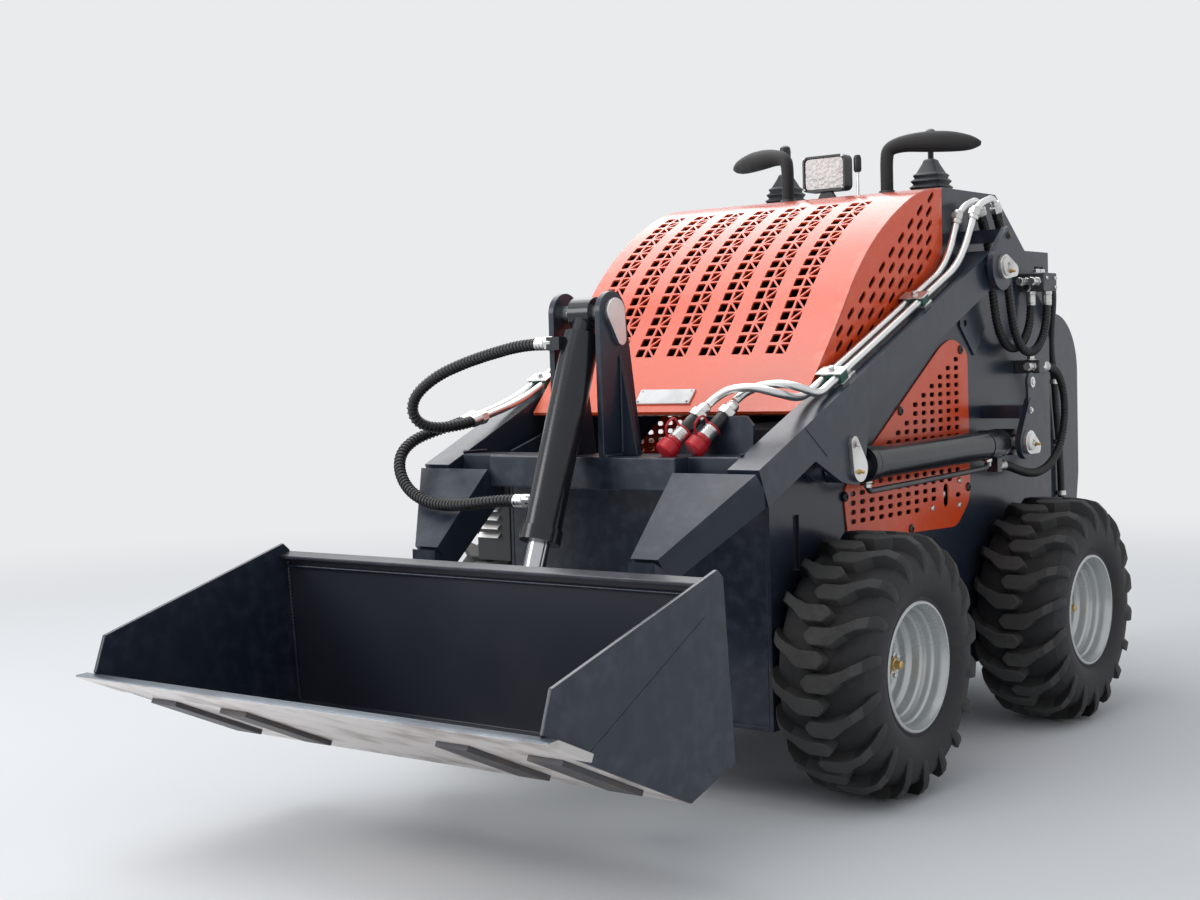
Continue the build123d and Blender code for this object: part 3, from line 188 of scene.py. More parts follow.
def sprayed(name, colour, worn, roughness, dust, shine=0.35, metallic=0.0, varnish=0.12):
    """Sprayed and baked paint: orange peel, cloudy gloss, pale edges and dust near the ground."""
    paint = Finish(name)
    cloud = paint.noise(5, 5)
    dirt = paint.noise(38, 6)
    low = 1 - paint.height().step(0.05, 0.62)
    dusty = (low * cloud.step(0.4, 0.9) + dirt.step(0.62, 0.8) * 0.2) * dust
    deep = tuple(c * 0.96 for c in colour)
    light = tuple(min(1, c * 1.04) for c in colour)
    body = paint.mix(cloud.step(0.3, 0.7), deep, light)
    body = paint.mix(dusty, body, (0.30, 0.27, 0.23))
    body = paint.mix(paint.edges() * dirt.step(0.4, 0.7) * 0.3, body, worn)
    scuffs = paint.noise(60, 4, (1, 9, 9)).step(0.62, 0.68)
    peel = paint.bump(paint.noise(620, 2), 0.0002, 0.35)
    normal = paint.bump(paint.noise(26, 3), 0.0006, 0.25, peel)
    gloss = roughness + cloud * 0.07 + dusty * 0.3 + scuffs * 0.06
    return paint.set(
        Base_Color=body, Roughness=gloss, Normal=normal, Coat_Weight=varnish - dusty * 0.1,
        Coat_Roughness=0.12, Specular_IOR_Level=shine, Metallic=metallic,
    )


def metal(name, colour, stain, roughness, grain=(1, 1, 1), scale=90, metallic=1.0):
    """Bare, plated or polished metal with stains and a fine grain."""
    steel = Finish(name)
    cloud = steel.noise(14, 5)
    lines = steel.noise(scale, 5, grain)
    body = steel.mix(cloud.step(0.42, 0.72) * 0.7, colour, stain)
    normal = steel.bump(lines, 0.0002, 0.3)
    gloss = roughness + lines * 0.16 + cloud * 0.1
    return steel.set(Base_Color=body, Roughness=gloss, Metallic=metallic, Normal=normal)


def rubber(name, colour, dust, roughness, grain):
    """Moulded rubber, dusty where it is worn, with a fine grain."""
    black = Finish(name)
    cloud = black.noise(9, 6)
    dirt = black.noise(70, 5)
    body = black.mix(cloud.step(0.4, 0.72) * dirt.step(0.3, 0.65) * 0.5 + black.edges() * 0.25, colour, dust)
    coarse = black.bump(dirt, 0.0008, 0.4)
    normal = black.bump(black.noise(grain, 2), 0.0003, 0.5, coarse)
    return black.set(Base_Color=body, Roughness=roughness + cloud * 0.16, Normal=normal)


def plastic(name, colour, roughness):
    """Moulded plastic with a faint texture."""
    shell = Finish(name)
    cloud = shell.noise(30, 4)
    body = shell.mix(cloud.step(0.4, 0.7), colour, tuple(c * 0.8 for c in colour))
    normal = shell.bump(shell.noise(800, 2), 0.0002, 0.3)
    return shell.set(Base_Color=body, Roughness=roughness + cloud * 0.1, Normal=normal)


def lamp_glass():
    """A work lamp's ribbed glass, with painted reflections of the faceted reflector behind it."""
    glass = Finish("lamp_glass")
    inputs = {"Vector": glass.place, "Scale": 110}
    facets_and_reflections = glass.node("ShaderNodeTexVoronoi", {"feature": "F1"}, inputs, "Distance")
    # Two greys, one to each facet: painted reflections of the reflector behind the glass; the same cells give the
    # bump.
    body = glass.mix(facets_and_reflections.step(0.1, 0.7), (0.36, 0.33, 0.32), (0.27, 0.25, 0.24))
    normal = glass.bump(facets_and_reflections, 0.001, 0.3)
    return glass.set(Base_Color=body, Roughness=0.16, Metallic=0.15, Normal=normal, Coat_Weight=0.3)


SLATE = sprayed("slate_paint", (0.018, 0.026, 0.043), (0.13, 0.15, 0.19), 0.27, 0.08)
# The bucket shell's slate: a lighter copy of the slate paint, painted fill light for the shell's inside, which lies
# in shade.
SLATE_PAINTED_FILL = sprayed("bucket_slate_painted_fill", (0.024, 0.028, 0.040), (0.10, 0.11, 0.14), 0.32, 0.08)
ORANGE = sprayed("orange_paint", (0.84, 0.080, 0.014), (0.92, 0.40, 0.26), 0.22, 0.06)
HOOD_ORANGE = sprayed("hood_paint", (0.84, 0.080, 0.014), (0.92, 0.40, 0.26), 0.20, 0.06, varnish=0.42)
CYLINDER_BLACK = sprayed("cylinder_paint", (0.010, 0.012, 0.017), (0.10, 0.11, 0.14), 0.20, 0.05, 0.4, varnish=0.15)
RIM = sprayed("rim_paint", (0.55, 0.57, 0.57), (0.8, 0.8, 0.8), 0.24, 0.22, 0.5, 0.55)
STEEL = metal("bare_steel", (0.62, 0.60, 0.58), (0.34, 0.29, 0.25), 0.28, (1, 14, 14), 22)
DARK_STEEL = metal("worn_steel", (0.12, 0.12, 0.13), (0.20, 0.17, 0.15), 0.38, (1, 10, 10), 30)
ZINC = metal("zinc_plate", (0.74, 0.74, 0.73), (0.50, 0.49, 0.46), 0.22)
CHROME = metal("chrome_rod", (0.50, 0.51, 0.53), (0.38, 0.39, 0.41), 0.04, (1, 1, 12), 60)
BRASS = metal("brass", (0.66, 0.46, 0.18), (0.40, 0.27, 0.12), 0.24)
CAST = metal("engine_cast", (0.10, 0.10, 0.11), (0.18, 0.16, 0.14), 0.5, metallic=0.5)
# Metal for faces that look down, with real stains; its pale colour is a painted reflection of the floor.
UNDERSIDE_PAINTED_REFLECTION = metal("underside_painted_floor_reflection", (0.88, 0.82, 0.79), (0.34, 0.28, 0.25), 0.26, (1, 8, 8), 12, 0.35)
EDGE_TOP = metal("edge_top_steel", (0.17, 0.19, 0.22), (0.10, 0.11, 0.13), 0.30, (1, 14, 14), 22)
WHITE_PIPE = metal("pipe_plating", (0.80, 0.81, 0.80), (0.62, 0.63, 0.62), 0.20)
TYRE = rubber("tyre_rubber", (0.016, 0.016, 0.018), (0.050, 0.047, 0.044), 0.60, 420)
# Lighter rubber for the lug tops: part wear, part painted light, as the tops catch light that the grooves in shade
# miss.
WORN_AND_LIT_TREAD = rubber("tread_top_worn_and_lit", (0.042, 0.042, 0.043), (0.095, 0.090, 0.084), 0.62, 420)
HOSE = rubber("hose_rubber", (0.016, 0.016, 0.018), (0.050, 0.048, 0.046), 0.40, 700)
GRIP_FOAM = rubber("grip_foam", (0.018, 0.017, 0.018), (0.045, 0.043, 0.042), 0.62, 340)
BOOT = rubber("boot_rubber", (0.020, 0.022, 0.028), (0.060, 0.062, 0.070), 0.42, 500)
BLACK_PLASTIC = plastic("black_plastic", (0.016, 0.016, 0.018), 0.34)
RED_PLASTIC = plastic("red_plastic", (0.62, 0.018, 0.030), 0.28)
ENAMEL = plastic("white_enamel", (0.86, 0.86, 0.86), 0.24)
CLAMP_GREEN = plastic("clamp_green", (0.02, 0.10, 0.07), 0.4)
GLASS = lamp_glass()

# Modelling


def activate(piece):
    bpy.ops.object.select_all(action="DESELECT")
    piece.select_set(True)
    bpy.context.view_layer.objects.active = piece


def choose(piece, kind="FACE", test=None):
    """Leaves the piece in edit mode with only what passes the test selected, or all of it."""
    activate(piece)
    bpy.ops.object.mode_set(mode="EDIT")
    bpy.ops.mesh.select_all(action="DESELECT")
    bpy.ops.mesh.select_mode(type=kind)
    mesh = bmesh.from_edit_mesh(piece.data)
    for element in {"FACE": mesh.faces, "EDGE": mesh.edges, "VERT": mesh.verts}[kind]:
        element.select_set(test is None or bool(test(element)))
    mesh.select_flush_mode()
    bmesh.update_edit_mesh(piece.data)


def leave():
    bpy.ops.object.mode_set(mode="OBJECT")


def work(piece, kind, test, operator, **settings):
    """Runs one edit-mode operator on what passes the test."""
    choose(piece, kind, test)
    operator(**settings)
    leave()


def select_all():
    bpy.ops.mesh.select_all(action="SELECT")


def pull(move):
    """Extrudes what is selected."""
    bpy.ops.mesh.extrude_region_move(TRANSFORM_OT_translate={"value": move})


def outward():
    """Merges the doubles of the piece in edit mode and turns its faces outwards."""
    select_all()
    bpy.ops.mesh.remove_doubles(threshold=0.00002)
    bpy.ops.mesh.normals_make_consistent(inside=False)
    leave()


def modify(piece, kind, **settings):
    activate(piece)
    modifier = piece.modifiers.new(kind, kind)
    for name, value in settings.items():
        setattr(modifier, name, value)
    bpy.ops.object.modifier_apply(modifier=modifier.name)


def smooth(piece, angle=32):
    activate(piece)
    bpy.ops.object.shade_smooth_by_angle(angle=math.radians(angle))


def soften(piece, width, segments=2, angle=32):
    """Rounds the hard edges of a piece and keeps its flats flat."""
    limit = {"limit_method": "ANGLE", "angle_limit": math.radians(angle)}
    modify(piece, "BEVEL", width=width * MM, segments=segments, use_clamp_overlap=True, **limit)
    smooth(piece)
    modify(piece, "WEIGHTED_NORMAL", keep_sharp=True)


def coat(piece, finish):
    piece.data.materials.clear()
    piece.data.materials.append(finish)


def done(piece, crease, finish):
    """The piece, smoothed up to a crease angle and given its finish."""
    if crease:
        smooth(piece, crease)
    if finish:
        coat(piece, finish)
    return piece


def refinish(piece, finish, test):
    """A second finish on the faces that pass the test."""
    piece.data.materials.append(finish)
    piece.active_material_index = len(piece.data.materials) - 1
    work(piece, "FACE", test, bpy.ops.object.material_slot_assign)


def draw(name, points):
    """One vertex, extruded from point to point. Stays in edit mode."""
    bpy.ops.object.select_all(action="DESELECT")
    bpy.ops.mesh.primitive_plane_add(size=MM)
    piece = bpy.context.object
    piece.name = name
    bpy.ops.object.mode_set(mode="EDIT")
    bpy.ops.mesh.select_mode(type="VERT")
    select_all()
    bpy.ops.mesh.merge(type="CENTER")
    bpy.ops.transform.translate(value=points[0])
    for start, end in zip(points, points[1:]):
        pull(end - start)
    return piece


def plate(name, outline, thickness, width=0, finish=None, segments=2):
    """A flat outline, filled and pulled up along thickness, with its edges rounded to a width."""
    piece = draw(name, outline)
    select_all()
    bpy.ops.mesh.edge_face_add()
    pull(thickness)
    outward()
    if width:
        soften(piece, width, segments)
    return done(piece, None, finish)


def turned(name, profile, centre, axis=ALONG_X, steps=32, crease=None, finish=None):
    """A profile of (along the axis, radius) pairs in millimetres, spun about the axis."""
    side = axis.orthogonal().normalized()
    piece = draw(name, [centre + (axis * along + side * radius) * MM for along, radius in profile])
    select_all()
    bpy.ops.mesh.spin(steps=steps, angle=math.tau, center=centre, axis=axis, dupli=False)
    outward()
    return done(piece, crease, finish)


def loft(name, rings):
    """A first ring of points, filled, extruded on and shaped to each ring that follows."""
    piece = draw(name, rings[0])
    select_all()
    bpy.ops.mesh.edge_face_add()
    mesh = bmesh.from_edit_mesh(piece.data)
    order = [min(range(len(rings[0])), key=lambda i: (rings[0][i] - v.co).length)
             for v in next(f for f in mesh.faces if f.select).verts]
    for ring in rings[1:]:
        pull((0, 0, 0))
        mesh = bmesh.from_edit_mesh(piece.data)
        end = next(f for f in mesh.faces if f.select)
        for vertex, place in zip(end.verts, order):
            vertex.co = ring[place]
        bmesh.update_edit_mesh(piece.data)
    outward()
    return piece


def prism(name, start, end, radius, sides=6, chamfer=1, finish=None):
    """A bar of some number of sides from start to end, such as a nut, with its rims chamfered."""
    axis = (end - start).normalized()
    length = (end - start).length / MM
    tip = min(chamfer, radius * 0.5)
    profile = ((0, 0), (0, radius - tip), (tip, radius), (length - tip, radius), (length, radius - tip),
               (length, 0))
    return turned(name, profile, start, axis, sides, None, finish)


def joined(name, pieces):
    """One piece out of several, under a name of its own."""
    activate(pieces[0])
    for piece in pieces:
        piece.select_set(True)
    bpy.ops.object.join()
    pieces[0].name = name
    return pieces[0]


def copied(piece, name, move=Vector(), mirror=False):
    """A copy with its own mesh, moved, or mirrored to the other side of the machine."""
    activate(piece)
    bpy.ops.object.duplicate(linked=False)
    copy = bpy.context.object
    copy.name = name
    if mirror:
        bpy.ops.object.mode_set(mode="EDIT")
        select_all()
        bpy.ops.transform.mirror(constraint_axis=(True, False, False), center_override=(0, 0, 0))
        bpy.ops.mesh.flip_normals()
        leave()
    copy.data.transform(Matrix.Translation(move))
    return copy


def mount(piece, body, slot, finish, *nodes):
    """Gives a piece its finish and its body, and hides the CAD nodes that it stands for."""
    if finish:
        coat(piece, finish)
    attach(piece, body)
    if nodes:
        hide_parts(*nodes)


def fit(name, body, slot, parts, *nodes):
    """Parts of one body, as one piece that keeps their finishes."""
    mount(joined(name, parts), body, slot, None, *nodes)


def spline(name, points, radius, radii=None, turns=12):
    """A hose, tube or bead on a NURBS spline through control points."""
    curve = bpy.data.curves.new(name, "CURVE")
    curve.dimensions = "3D"
    run = curve.splines.new("NURBS")
    run.points.add(len(points) - 1)
    for i, (control, point) in enumerate(zip(run.points, points)):
        control.co = (*point, 1)
        control.radius = radii[i] if radii else 1
    run.order_u = 3
    run.use_endpoint_u = True
    curve.resolution_u = turns
    curve.bevel_depth = radius * MM
    curve.bevel_resolution = 4
    curve.use_fill_caps = True
    piece = bpy.data.objects.new(name, curve)
    bpy.context.scene.collection.objects.link(piece)
    return piece


def meshed(piece):
    activate(piece)
    bpy.ops.object.convert(target="MESH")
    piece = bpy.context.object
    bpy.ops.object.mode_set(mode="EDIT")
    outward()
    bpy.ops.object.shade_smooth()
    return piece


def tube(name, points, radius, finish):
    return done(meshed(spline(name, points, radius)), None, finish)


def route(points):
    """Places along the smooth line of a hose's control points."""
    bare = spline("route", points, 0, turns=24)
    depsgraph = bpy.context.evaluated_depsgraph_get()
    line = bpy.data.meshes.new_from_object(bare.evaluated_get(depsgraph))
    places = [v.co.copy() for v in line.vertices]
    bpy.data.meshes.remove(line)
    bpy.data.objects.remove(bare)
    return places


BODY_OF = {node: body for body, nodes in frame["record"]["behaviour"]["bodies"].items() for node in nodes}
SLOT_OF = {part["node"]: part["material_slot"] for part in frame["record"]["subparts"]}


def dressed(node, width, finish, slot=None):
    """A CAD part with its doubles merged and its edges softened, on its own body."""
    piece = bpy.data.objects.new(node + "_finished", frame["nodes"][node].data.copy())
    bpy.context.scene.collection.objects.link(piece)
    activate(piece)
    bpy.ops.object.mode_set(mode="EDIT")
    select_all()
    bpy.ops.mesh.remove_doubles(threshold=0.00001)
    bpy.ops.mesh.dissolve_limited(angle_limit=math.radians(0.6))
    leave()
    soften(piece, width)
    mount(piece, BODY_OF[node], slot or SLOT_OF[node], finish, node)
    return piece


# Stage, light and camera

LAMPS = (
    # name, place, aim, size, power
    ("sky_lamp", (-0.8, -1.6, 4.0), (0, 0, 0.5), 3.4, 46),
    ("front_lamp", (-3.2, -4.2, 2.4), (0, 0, 0.5), 2.0, 78),
    ("back_lamp", (-2.4, 1.3, 3.5), (0, 0.1, 1.0), 3.2, 22),
    ("sheen_card", (-1.4, 0.95, 3.5), (0.1, 0, 0.9), 3.6, 92),
)
BACKDROP = (0.82, 0.83, 0.845)
SKY_COLOUR = (0.90, 0.95, 1.0)
SKY_STRENGTH = 0.52
EYE = (1.8203, -2.7341, 0.755)
YAW, PITCH, ROLL = 0.6579, 0.0493, -0.0274
LENS = 51.84
SENSOR = 36


def stage():
    """A pale floor that fades into the backdrop's colour, and keeps the machine's shadow."""
    bpy.ops.object.select_all(action="DESELECT")
    bpy.ops.mesh.primitive_circle_add(vertices=64, radius=40, fill_type="NGON")
    floor = bpy.context.object
    floor.name = "floor"
    pale = Finish("pale_floor")
    spread = pale.node("ShaderNodeVectorMath", {"operation": "LENGTH"}, {0: pale.place}, "Value")
    pale.set(Base_Color=(0.90, 0.91, 0.925), Roughness=0.9)
    glow = pale.node("ShaderNodeEmission", None, {"Color": BACKDROP, "Strength": 1.0})
    lit = Value(pale, pale.shader.outputs[0])
    pale.end(pale.node("ShaderNodeMixShader", None, {0: spread.step(1.6, 5.5), 1: lit, 2: glow}), "Material Output")
    coat(floor, pale.material)


def light():
    """An even sky, soft lamps above, in front and behind, and a card that only gloss mirrors."""
    scene = bpy.context.scene
    scene.view_settings.view_transform = "Standard"
    scene.world = bpy.data.worlds.new("pale_sky")
    sky = Nodes(scene.world)
    seen = sky.node("ShaderNodeBackground", None, {"Color": BACKDROP})
    lit = sky.node("ShaderNodeBackground", None, {"Color": SKY_COLOUR, "Strength": SKY_STRENGTH})
    eye, gloss, glass = (sky.node("ShaderNodeLightPath", output=f"Is {ray} Ray")
                         for ray in ("Camera", "Glossy", "Transmission"))
    shown = eye.math("MAXIMUM", eye.math("MAXIMUM", eye, gloss), glass)
    sky.end(sky.node("ShaderNodeMixShader", None, {0: shown, 1: lit, 2: seen}), "World Output")
    for name, place, aim, size, power in LAMPS:
        lamp = bpy.data.lights.new(name, "AREA")
        lamp.size = size
        lamp.energy = power
        stand = bpy.data.objects.new(name, lamp)
        scene.collection.objects.link(stand)
        stand.visible_diffuse = name != "sheen_card"
        stand.location = place
        stand.rotation_euler = (Vector(aim) - Vector(place)).to_track_quat("-Z", "Y").to_euler()


def camera():
    """Where the photograph was taken from."""
    level = math.cos(PITCH)
    back = Vector((math.sin(YAW) * level, -math.cos(YAW) * level, math.sin(PITCH)))
    right = Vector((math.cos(YAW), math.sin(YAW), 0))
    up = back.cross(right)
    across = right * math.cos(ROLL) + up * math.sin(ROLL)
    up = up * math.cos(ROLL) - right * math.sin(ROLL)
    lens = bpy.data.cameras.new("camera")
    lens.lens = LENS
    lens.sensor_width = SENSOR
    eye = bpy.data.objects.new("camera", lens)
    bpy.context.scene.collection.objects.link(eye)
    eye.matrix_world = Matrix.Translation(EYE) @ Matrix((across, up, back)).transposed().to_4x4()
    bpy.context.scene.camera = eye


# Wheels

TREAD = ((-66, 102), (-70, 107), (-77, 109), (-80, 114), (-79, 119), (-83, 124), (-88, 134), (-90.5, 148),
         (-90.5, 163), (-87, 180), (-80, 193), (-68, 201), (-44, 206), (0, 207.5))
LUG = (
    # base across, base radius, top across, top radius, low side, high side, flare
    (-22, 204, -20, 226.5, -3, 3, 2),
    (-9, 204, -9, 228, -15, 14, 4),
    (27, 204, 27, 228, -15, 14, 4),
    (39, 203, 39, 227.5, -7, 19, 4),
    (52, 202, 52, 226.5, 5, 24, 4),
    (68, 196, 70, 223.5, 16, 35, 4),
    (80, 186, 84, 210, 25, 46, 4),
    (85, 176, 91, 195, 31, 56, 3),
    (88, 162, 92.5, 176, 36, 60, 2),
    (89, 152, 91, 158, 40, 60, 1),
)
TREAD_TOP_RADIUS = 213
LUG_COUNT = 18


def around(across, radius, turn, wheel):
    """A point on a wheel: across it, out from its axle and turned up from its front."""
    angle = turn / AXLE_Z
    return wheel + mm(across, -radius * math.cos(angle), radius * math.sin(angle))


def tyre(name, wheel):
    profile = [*TREAD, *((-across, radius) for across, radius in reversed(TREAD[:-1]))]
    casing = turned(name, profile, wheel, steps=72)
    modify(casing, "SOLIDIFY", thickness=4 * MM, offset=-1)
    lug = loft("lug", [[around(base, low_r, low - flare, wheel), around(top, top_r, low, wheel),
                        around(top, top_r, high, wheel), around(base, low_r, high + flare, wheel)]
                       for base, low_r, top, top_r, low, high, flare in LUG])
    modify(lug, "BEVEL", width=1.5 * MM, segments=1, limit_method="ANGLE", angle_limit=math.radians(40))
    other = copied(lug, "lug_other")
    other.data.transform(Matrix.Translation(wheel) @ Matrix.Rotation(math.pi / LUG_COUNT, 4, "X")
                         @ Matrix.Diagonal((-1, 1, 1, 1)) @ Matrix.Translation(-wheel))
    for half in (lug, other):
        choose(half)
        bpy.ops.mesh.normals_make_consistent(inside=False)
        bpy.ops.mesh.spin(steps=LUG_COUNT, angle=math.tau, dupli=True, center=wheel, axis=ALONG_X)
        leave()
    whole = joined(name, [casing, lug, other])
    choose(whole)
    outward()
    radius = TREAD_TOP_RADIUS * MM
    # The lug tops take the lighter rubber: wear, and painted light against the shaded grooves.
    refinish(done(whole, 24, TYRE), WORN_AND_LIT_TREAD, lambda f: (f.calc_center_median() - wheel).yz.length > radius)
    return whole


DISH = ((80.5, 107), (80.5, 111), (78.5, 113), (76, 112.5), (73, 108), (71, 105.5), (67, 104), (60, 103.5),
        (57, 102), (54, 98.5), (51, 97), (41, 96.5), (38, 95.5), (35, 91), (32, 89.5), (20, 89), (17, 87.5),
        (13, 82), (8, 80.5), (0, 80), (-4, 77), (-6, 72), (-6, 62), (-4, 59), (-2, 50), (-2, 44), (2, 41),
        (10, 40), (12, 38), (12, 0))
RIM_BACK = ((-10, 0), (-10, 60), (-10, 78), (-14, 84), (-30, 84), (-36, 96), (-60, 99), (-69, 102.5),
            (-72, 107), (-75, 112), (-78, 113), (-80.5, 111), (-80.5, 108), (-74, 104), (-70, 100), (-66, 96),
            (-44, 95), (-38, 88), (-2, 88))
RIM_OUTER = ((80.5, 107), (77, 106), (72, 103), (64, 101), (48, 100), (40, 94), (24, 92), (-2, 88))
HUB = 12
AXLE_NUT = ((0, 15), (9, 14.5), (11, 11), (22, 10.5), (23, 7.5), (33, 7), (34, 5), (34, 0))
NUT_COUNT = 5
NUT_CIRCLE = 28
VALVE = ((0, 0), (0, 7), (3, 7), (4, 5), (9, 5), (9, 6.5), (15, 6.5), (16, 4.4), (26, 4), (27, 5), (33, 5),
         (34, 4), (34, 0))
VALVE_CIRCLE = 66
VALVE_TURN = 0.12


def rim(name, wheel):
    shell = joined(name, [turned(part, profile, wheel, steps=64) for part, profile in
                          ((name, DISH), ("barrel", RIM_OUTER), ("back", RIM_BACK))])
    studs = []
    for i in range(NUT_COUNT):
        angle = math.tau * (i + 0.25) / NUT_COUNT
        place = wheel + mm(HUB, NUT_CIRCLE * math.cos(angle), NUT_CIRCLE * math.sin(angle))
        studs += [prism("wheel_nut", place, place + mm(9, 0, 0), 8.5, 6, 1.5, ZINC),
                  prism("wheel_stud", place, place + mm(15, 0, 0), 4.6, 12, 1, ZINC)]
    cap = turned("axle_nut", AXLE_NUT, wheel + mm(HUB, 0, 0), steps=24, crease=50, finish=BRASS)
    valve_at = wheel + mm(-6, -VALVE_CIRCLE * math.cos(VALVE_TURN), -VALVE_CIRCLE * math.sin(VALVE_TURN))
    valve = turned("valve", VALVE, valve_at, steps=12, finish=BRASS)
    return joined(name, [done(shell, 40, RIM), cap, valve, *studs])


def wheels():
    first = mm(WHEEL_X, ENDS[0][1], AXLE_Z)
    rolled = tyre("tyre_front_left_tread", first)
    dished = rim("rim_front_left_dish", first)
    for end, along in ENDS:
        for side, sign in SIDES:
            body = f"wheel_{end}_{side}"
            place = mm(sign * WHEEL_X, along, AXLE_Z)
            if place == first:
                tread, dish = rolled, dished
            else:
                tread = copied(rolled, f"tyre_{end}_{side}_tread", place - first)
                dish = copied(dished, f"rim_{end}_{side}_dish", mm(0, along - ENDS[0][1], 0), sign < 0)
            mount(tread, body, "tyre", None, f"tyre_{end}_{side}")
            mount(dish, body, "rim_paint", None, f"rim_{end}_{side}")


# Hood and vents

HOOD_LINE = ((-203, 667), (-77, 804), (11, 921), (121, 1008), (266, 1077), (346, 1079))
HOOD_HALF_WIDTH = 294
HOOD_ROWS = 27
HOOD_CELL = 24
HOOD_COLUMNS = 24
FIRST_STRIPE = 1
LAST_STRIPE = 20
HOLED_ROWS = range(5, 22)


def even(places, count):
    """Places at equal distances along a smooth line."""
    gaps = [(b - a).length for a, b in zip(places, places[1:])]
    spaced, done, left = [places[0]], 0.0, sum(gaps) / count
    for (start, end), gap in zip(zip(places, places[1:]), gaps):
        while done + gap >= left * len(spaced) and len(spaced) < count:
            spaced.append(start.lerp(end, (left * len(spaced) - done) / gap))
        done += gap
    return spaced + [places[-1]]


def hood_sheet():
    """The curved top sheet: a grid of cells, of which seven stripes are cut as a tyre's track."""
    half = HOOD_CELL * HOOD_COLUMNS / 2
    line = even(route(facing("X", 0, HOOD_LINE)), HOOD_ROWS)
    sheet = draw("hood_sheet", [mm(-half, 0, 0) + place for place in line])
    select_all()
    for _ in range(HOOD_COLUMNS):
        pull(mm(HOOD_CELL, 0, 0))
    leave()
    for sign in (-1, 1):
        work(sheet, "VERT", lambda v: v.co.x * sign > (half - 1) * MM,
             bpy.ops.transform.translate, value=mm(sign * (HOOD_HALF_WIDTH - half), 0, 0))
    middles = [(a + b) / 2 for a, b in zip(line, line[1:])]

    def striped(x, wanted):
        column = math.floor(x / MM / HOOD_CELL + HOOD_COLUMNS / 2)
        return FIRST_STRIPE <= column <= LAST_STRIPE and (column - FIRST_STRIPE) % 3 == wanted

    def row_of(face):
        centre = face.calc_center_median()
        return min(range(HOOD_ROWS), key=lambda i: (middles[i].yz - centre.yz).length)

    def in_column(face, wanted):
        return striped(face.calc_center_median().x, wanted) and row_of(face) in HOLED_ROWS

    def punch(radius, thickness, wanted, sides):
        """Cuts a hole in each face of one column of each stripe, and rounds the holes' corners."""
        choose(sheet, "FACE", lambda face: in_column(face, wanted) and len(face.verts) == sides)
        bpy.ops.mesh.inset(thickness=thickness * MM, depth=0, use_individual=True)
        bpy.ops.mesh.delete(type="FACE")
        leave()
        work(sheet, "VERT", lambda v: v.is_boundary and striped(v.co.x, wanted)
             and line[0].y < v.co.y - MM and v.co.y + MM < line[-1].y,
             bpy.ops.mesh.bevel, offset=radius * MM, segments=2, affect="VERTICES", clamp_overlap=True)

    punch(2.6, 3.2, 0, 4)
    for parity, diagonal in enumerate(("FIXED", "FIXED_ALTERNATE")):
        work(sheet, "FACE", lambda face: in_column(face, 1) and row_of(face) % 2 == parity
             and len(face.verts) == 4, bpy.ops.mesh.quads_convert_to_tris, quad_method=diagonal)
    punch(1.1, 1.9, 1, 3)
    choose(sheet, "EDGE", lambda e: e.is_boundary and all(v.co.z < line[0].z + MM / 10 for v in e.verts))
    pull(mm(0, 3, -5))
    pull(mm(0, 12, -3))
    leave()
    choose(sheet)
    bpy.ops.mesh.normals_make_consistent(inside=False)
    if sum(face.normal.z for face in bmesh.from_edit_mesh(sheet.data).faces) < 0:
        bpy.ops.mesh.flip_normals()
    leave()
    modify(sheet, "SOLIDIFY", thickness=4 * MM, offset=-1)
    smooth(sheet, 30)
    modify(sheet, "WEIGHTED_NORMAL", keep_sharp=True)
    mount(sheet, "hood", "orange_paint", HOOD_ORANGE, "hood")


CHEEK_FOOT = ((346, 950), (288, 894), (225, 861), (47, 777))
CHEEK_ROWS = (
    # height, rear end, slots
    (1058, 300, 1), (1031, 292, 2), (1004, 291, 3), (976, 290, 4), (948, 289, 5), (919, 251, 5),
    (891, 212, 5), (863, 175, 5), (834, 132, 5), (803, 54, 4), (776, -23, 2),
)
CHEEK_PITCH = 37.5
VENT_OUTLINE = ((-30, 424), (-45, 521), (62, 593), (348, 775), (396, 789), (462, 764), (466, 467), (404, 415),
                (189, 421))
VENT_ROWS = (
    # first column from the rear, slots
    (5, 8), (0, 13), (0, 13), (0, 13), (0, 12), (0, 11), (0, 10), (0, 10), (0, 9), (0, 8), (0, 7), (0, 6),
    (0, 6), (0, 5), (0, 4), (0, 3), (0, 2), (0, 1),
)
VENT_FIRST = (411, 461)
VENT_PITCH = (35.2, 16.8)
VENT_EYE = (357, 481)
VENT_SCREWS = ((-40, 508), (208, 428), (455, 490), (429, 765), (173, 653))
VENT_FASTENERS = ((296, 460), (413, 457), (415, 506))
SLOT_END_STEPS = 5


def obround(length, width, tilt):
    """The outline of a slot with round ends, turned by tilt degrees, as (along, up) pairs."""
    outline = []
    lean = math.radians(tilt)
    for end in (1, -1):
        for step in range(SLOT_END_STEPS + 1):
            angle = math.pi * (step / SLOT_END_STEPS - 0.5)
            u = end * ((length - width) / 2 + width / 2 * math.cos(angle))
            v = end * width / 2 * math.sin(angle)
            outline.append((u * math.cos(lean) - v * math.sin(lean), u * math.sin(lean) + v * math.cos(lean)))
    return outline


def perforated(name, outline, x, thickness, slots):
    """A side panel in the plane across x, with its slots cut out by one joined cutter."""
    panel = plate(name, facing("X", x, outline), mm(thickness, 0, 0))
    cutter = joined("cutters", [plate("cutter", facing("X", x - 4, shape, y, z), mm(thickness + 8, 0, 0))
                                for y, z, shape in slots])
    modify(panel, "BOOLEAN", operation="DIFFERENCE", object=cutter, solver="EXACT")
    bpy.data.objects.remove(cutter)
    soften(panel, 0.6, 2, 50)
    return panel


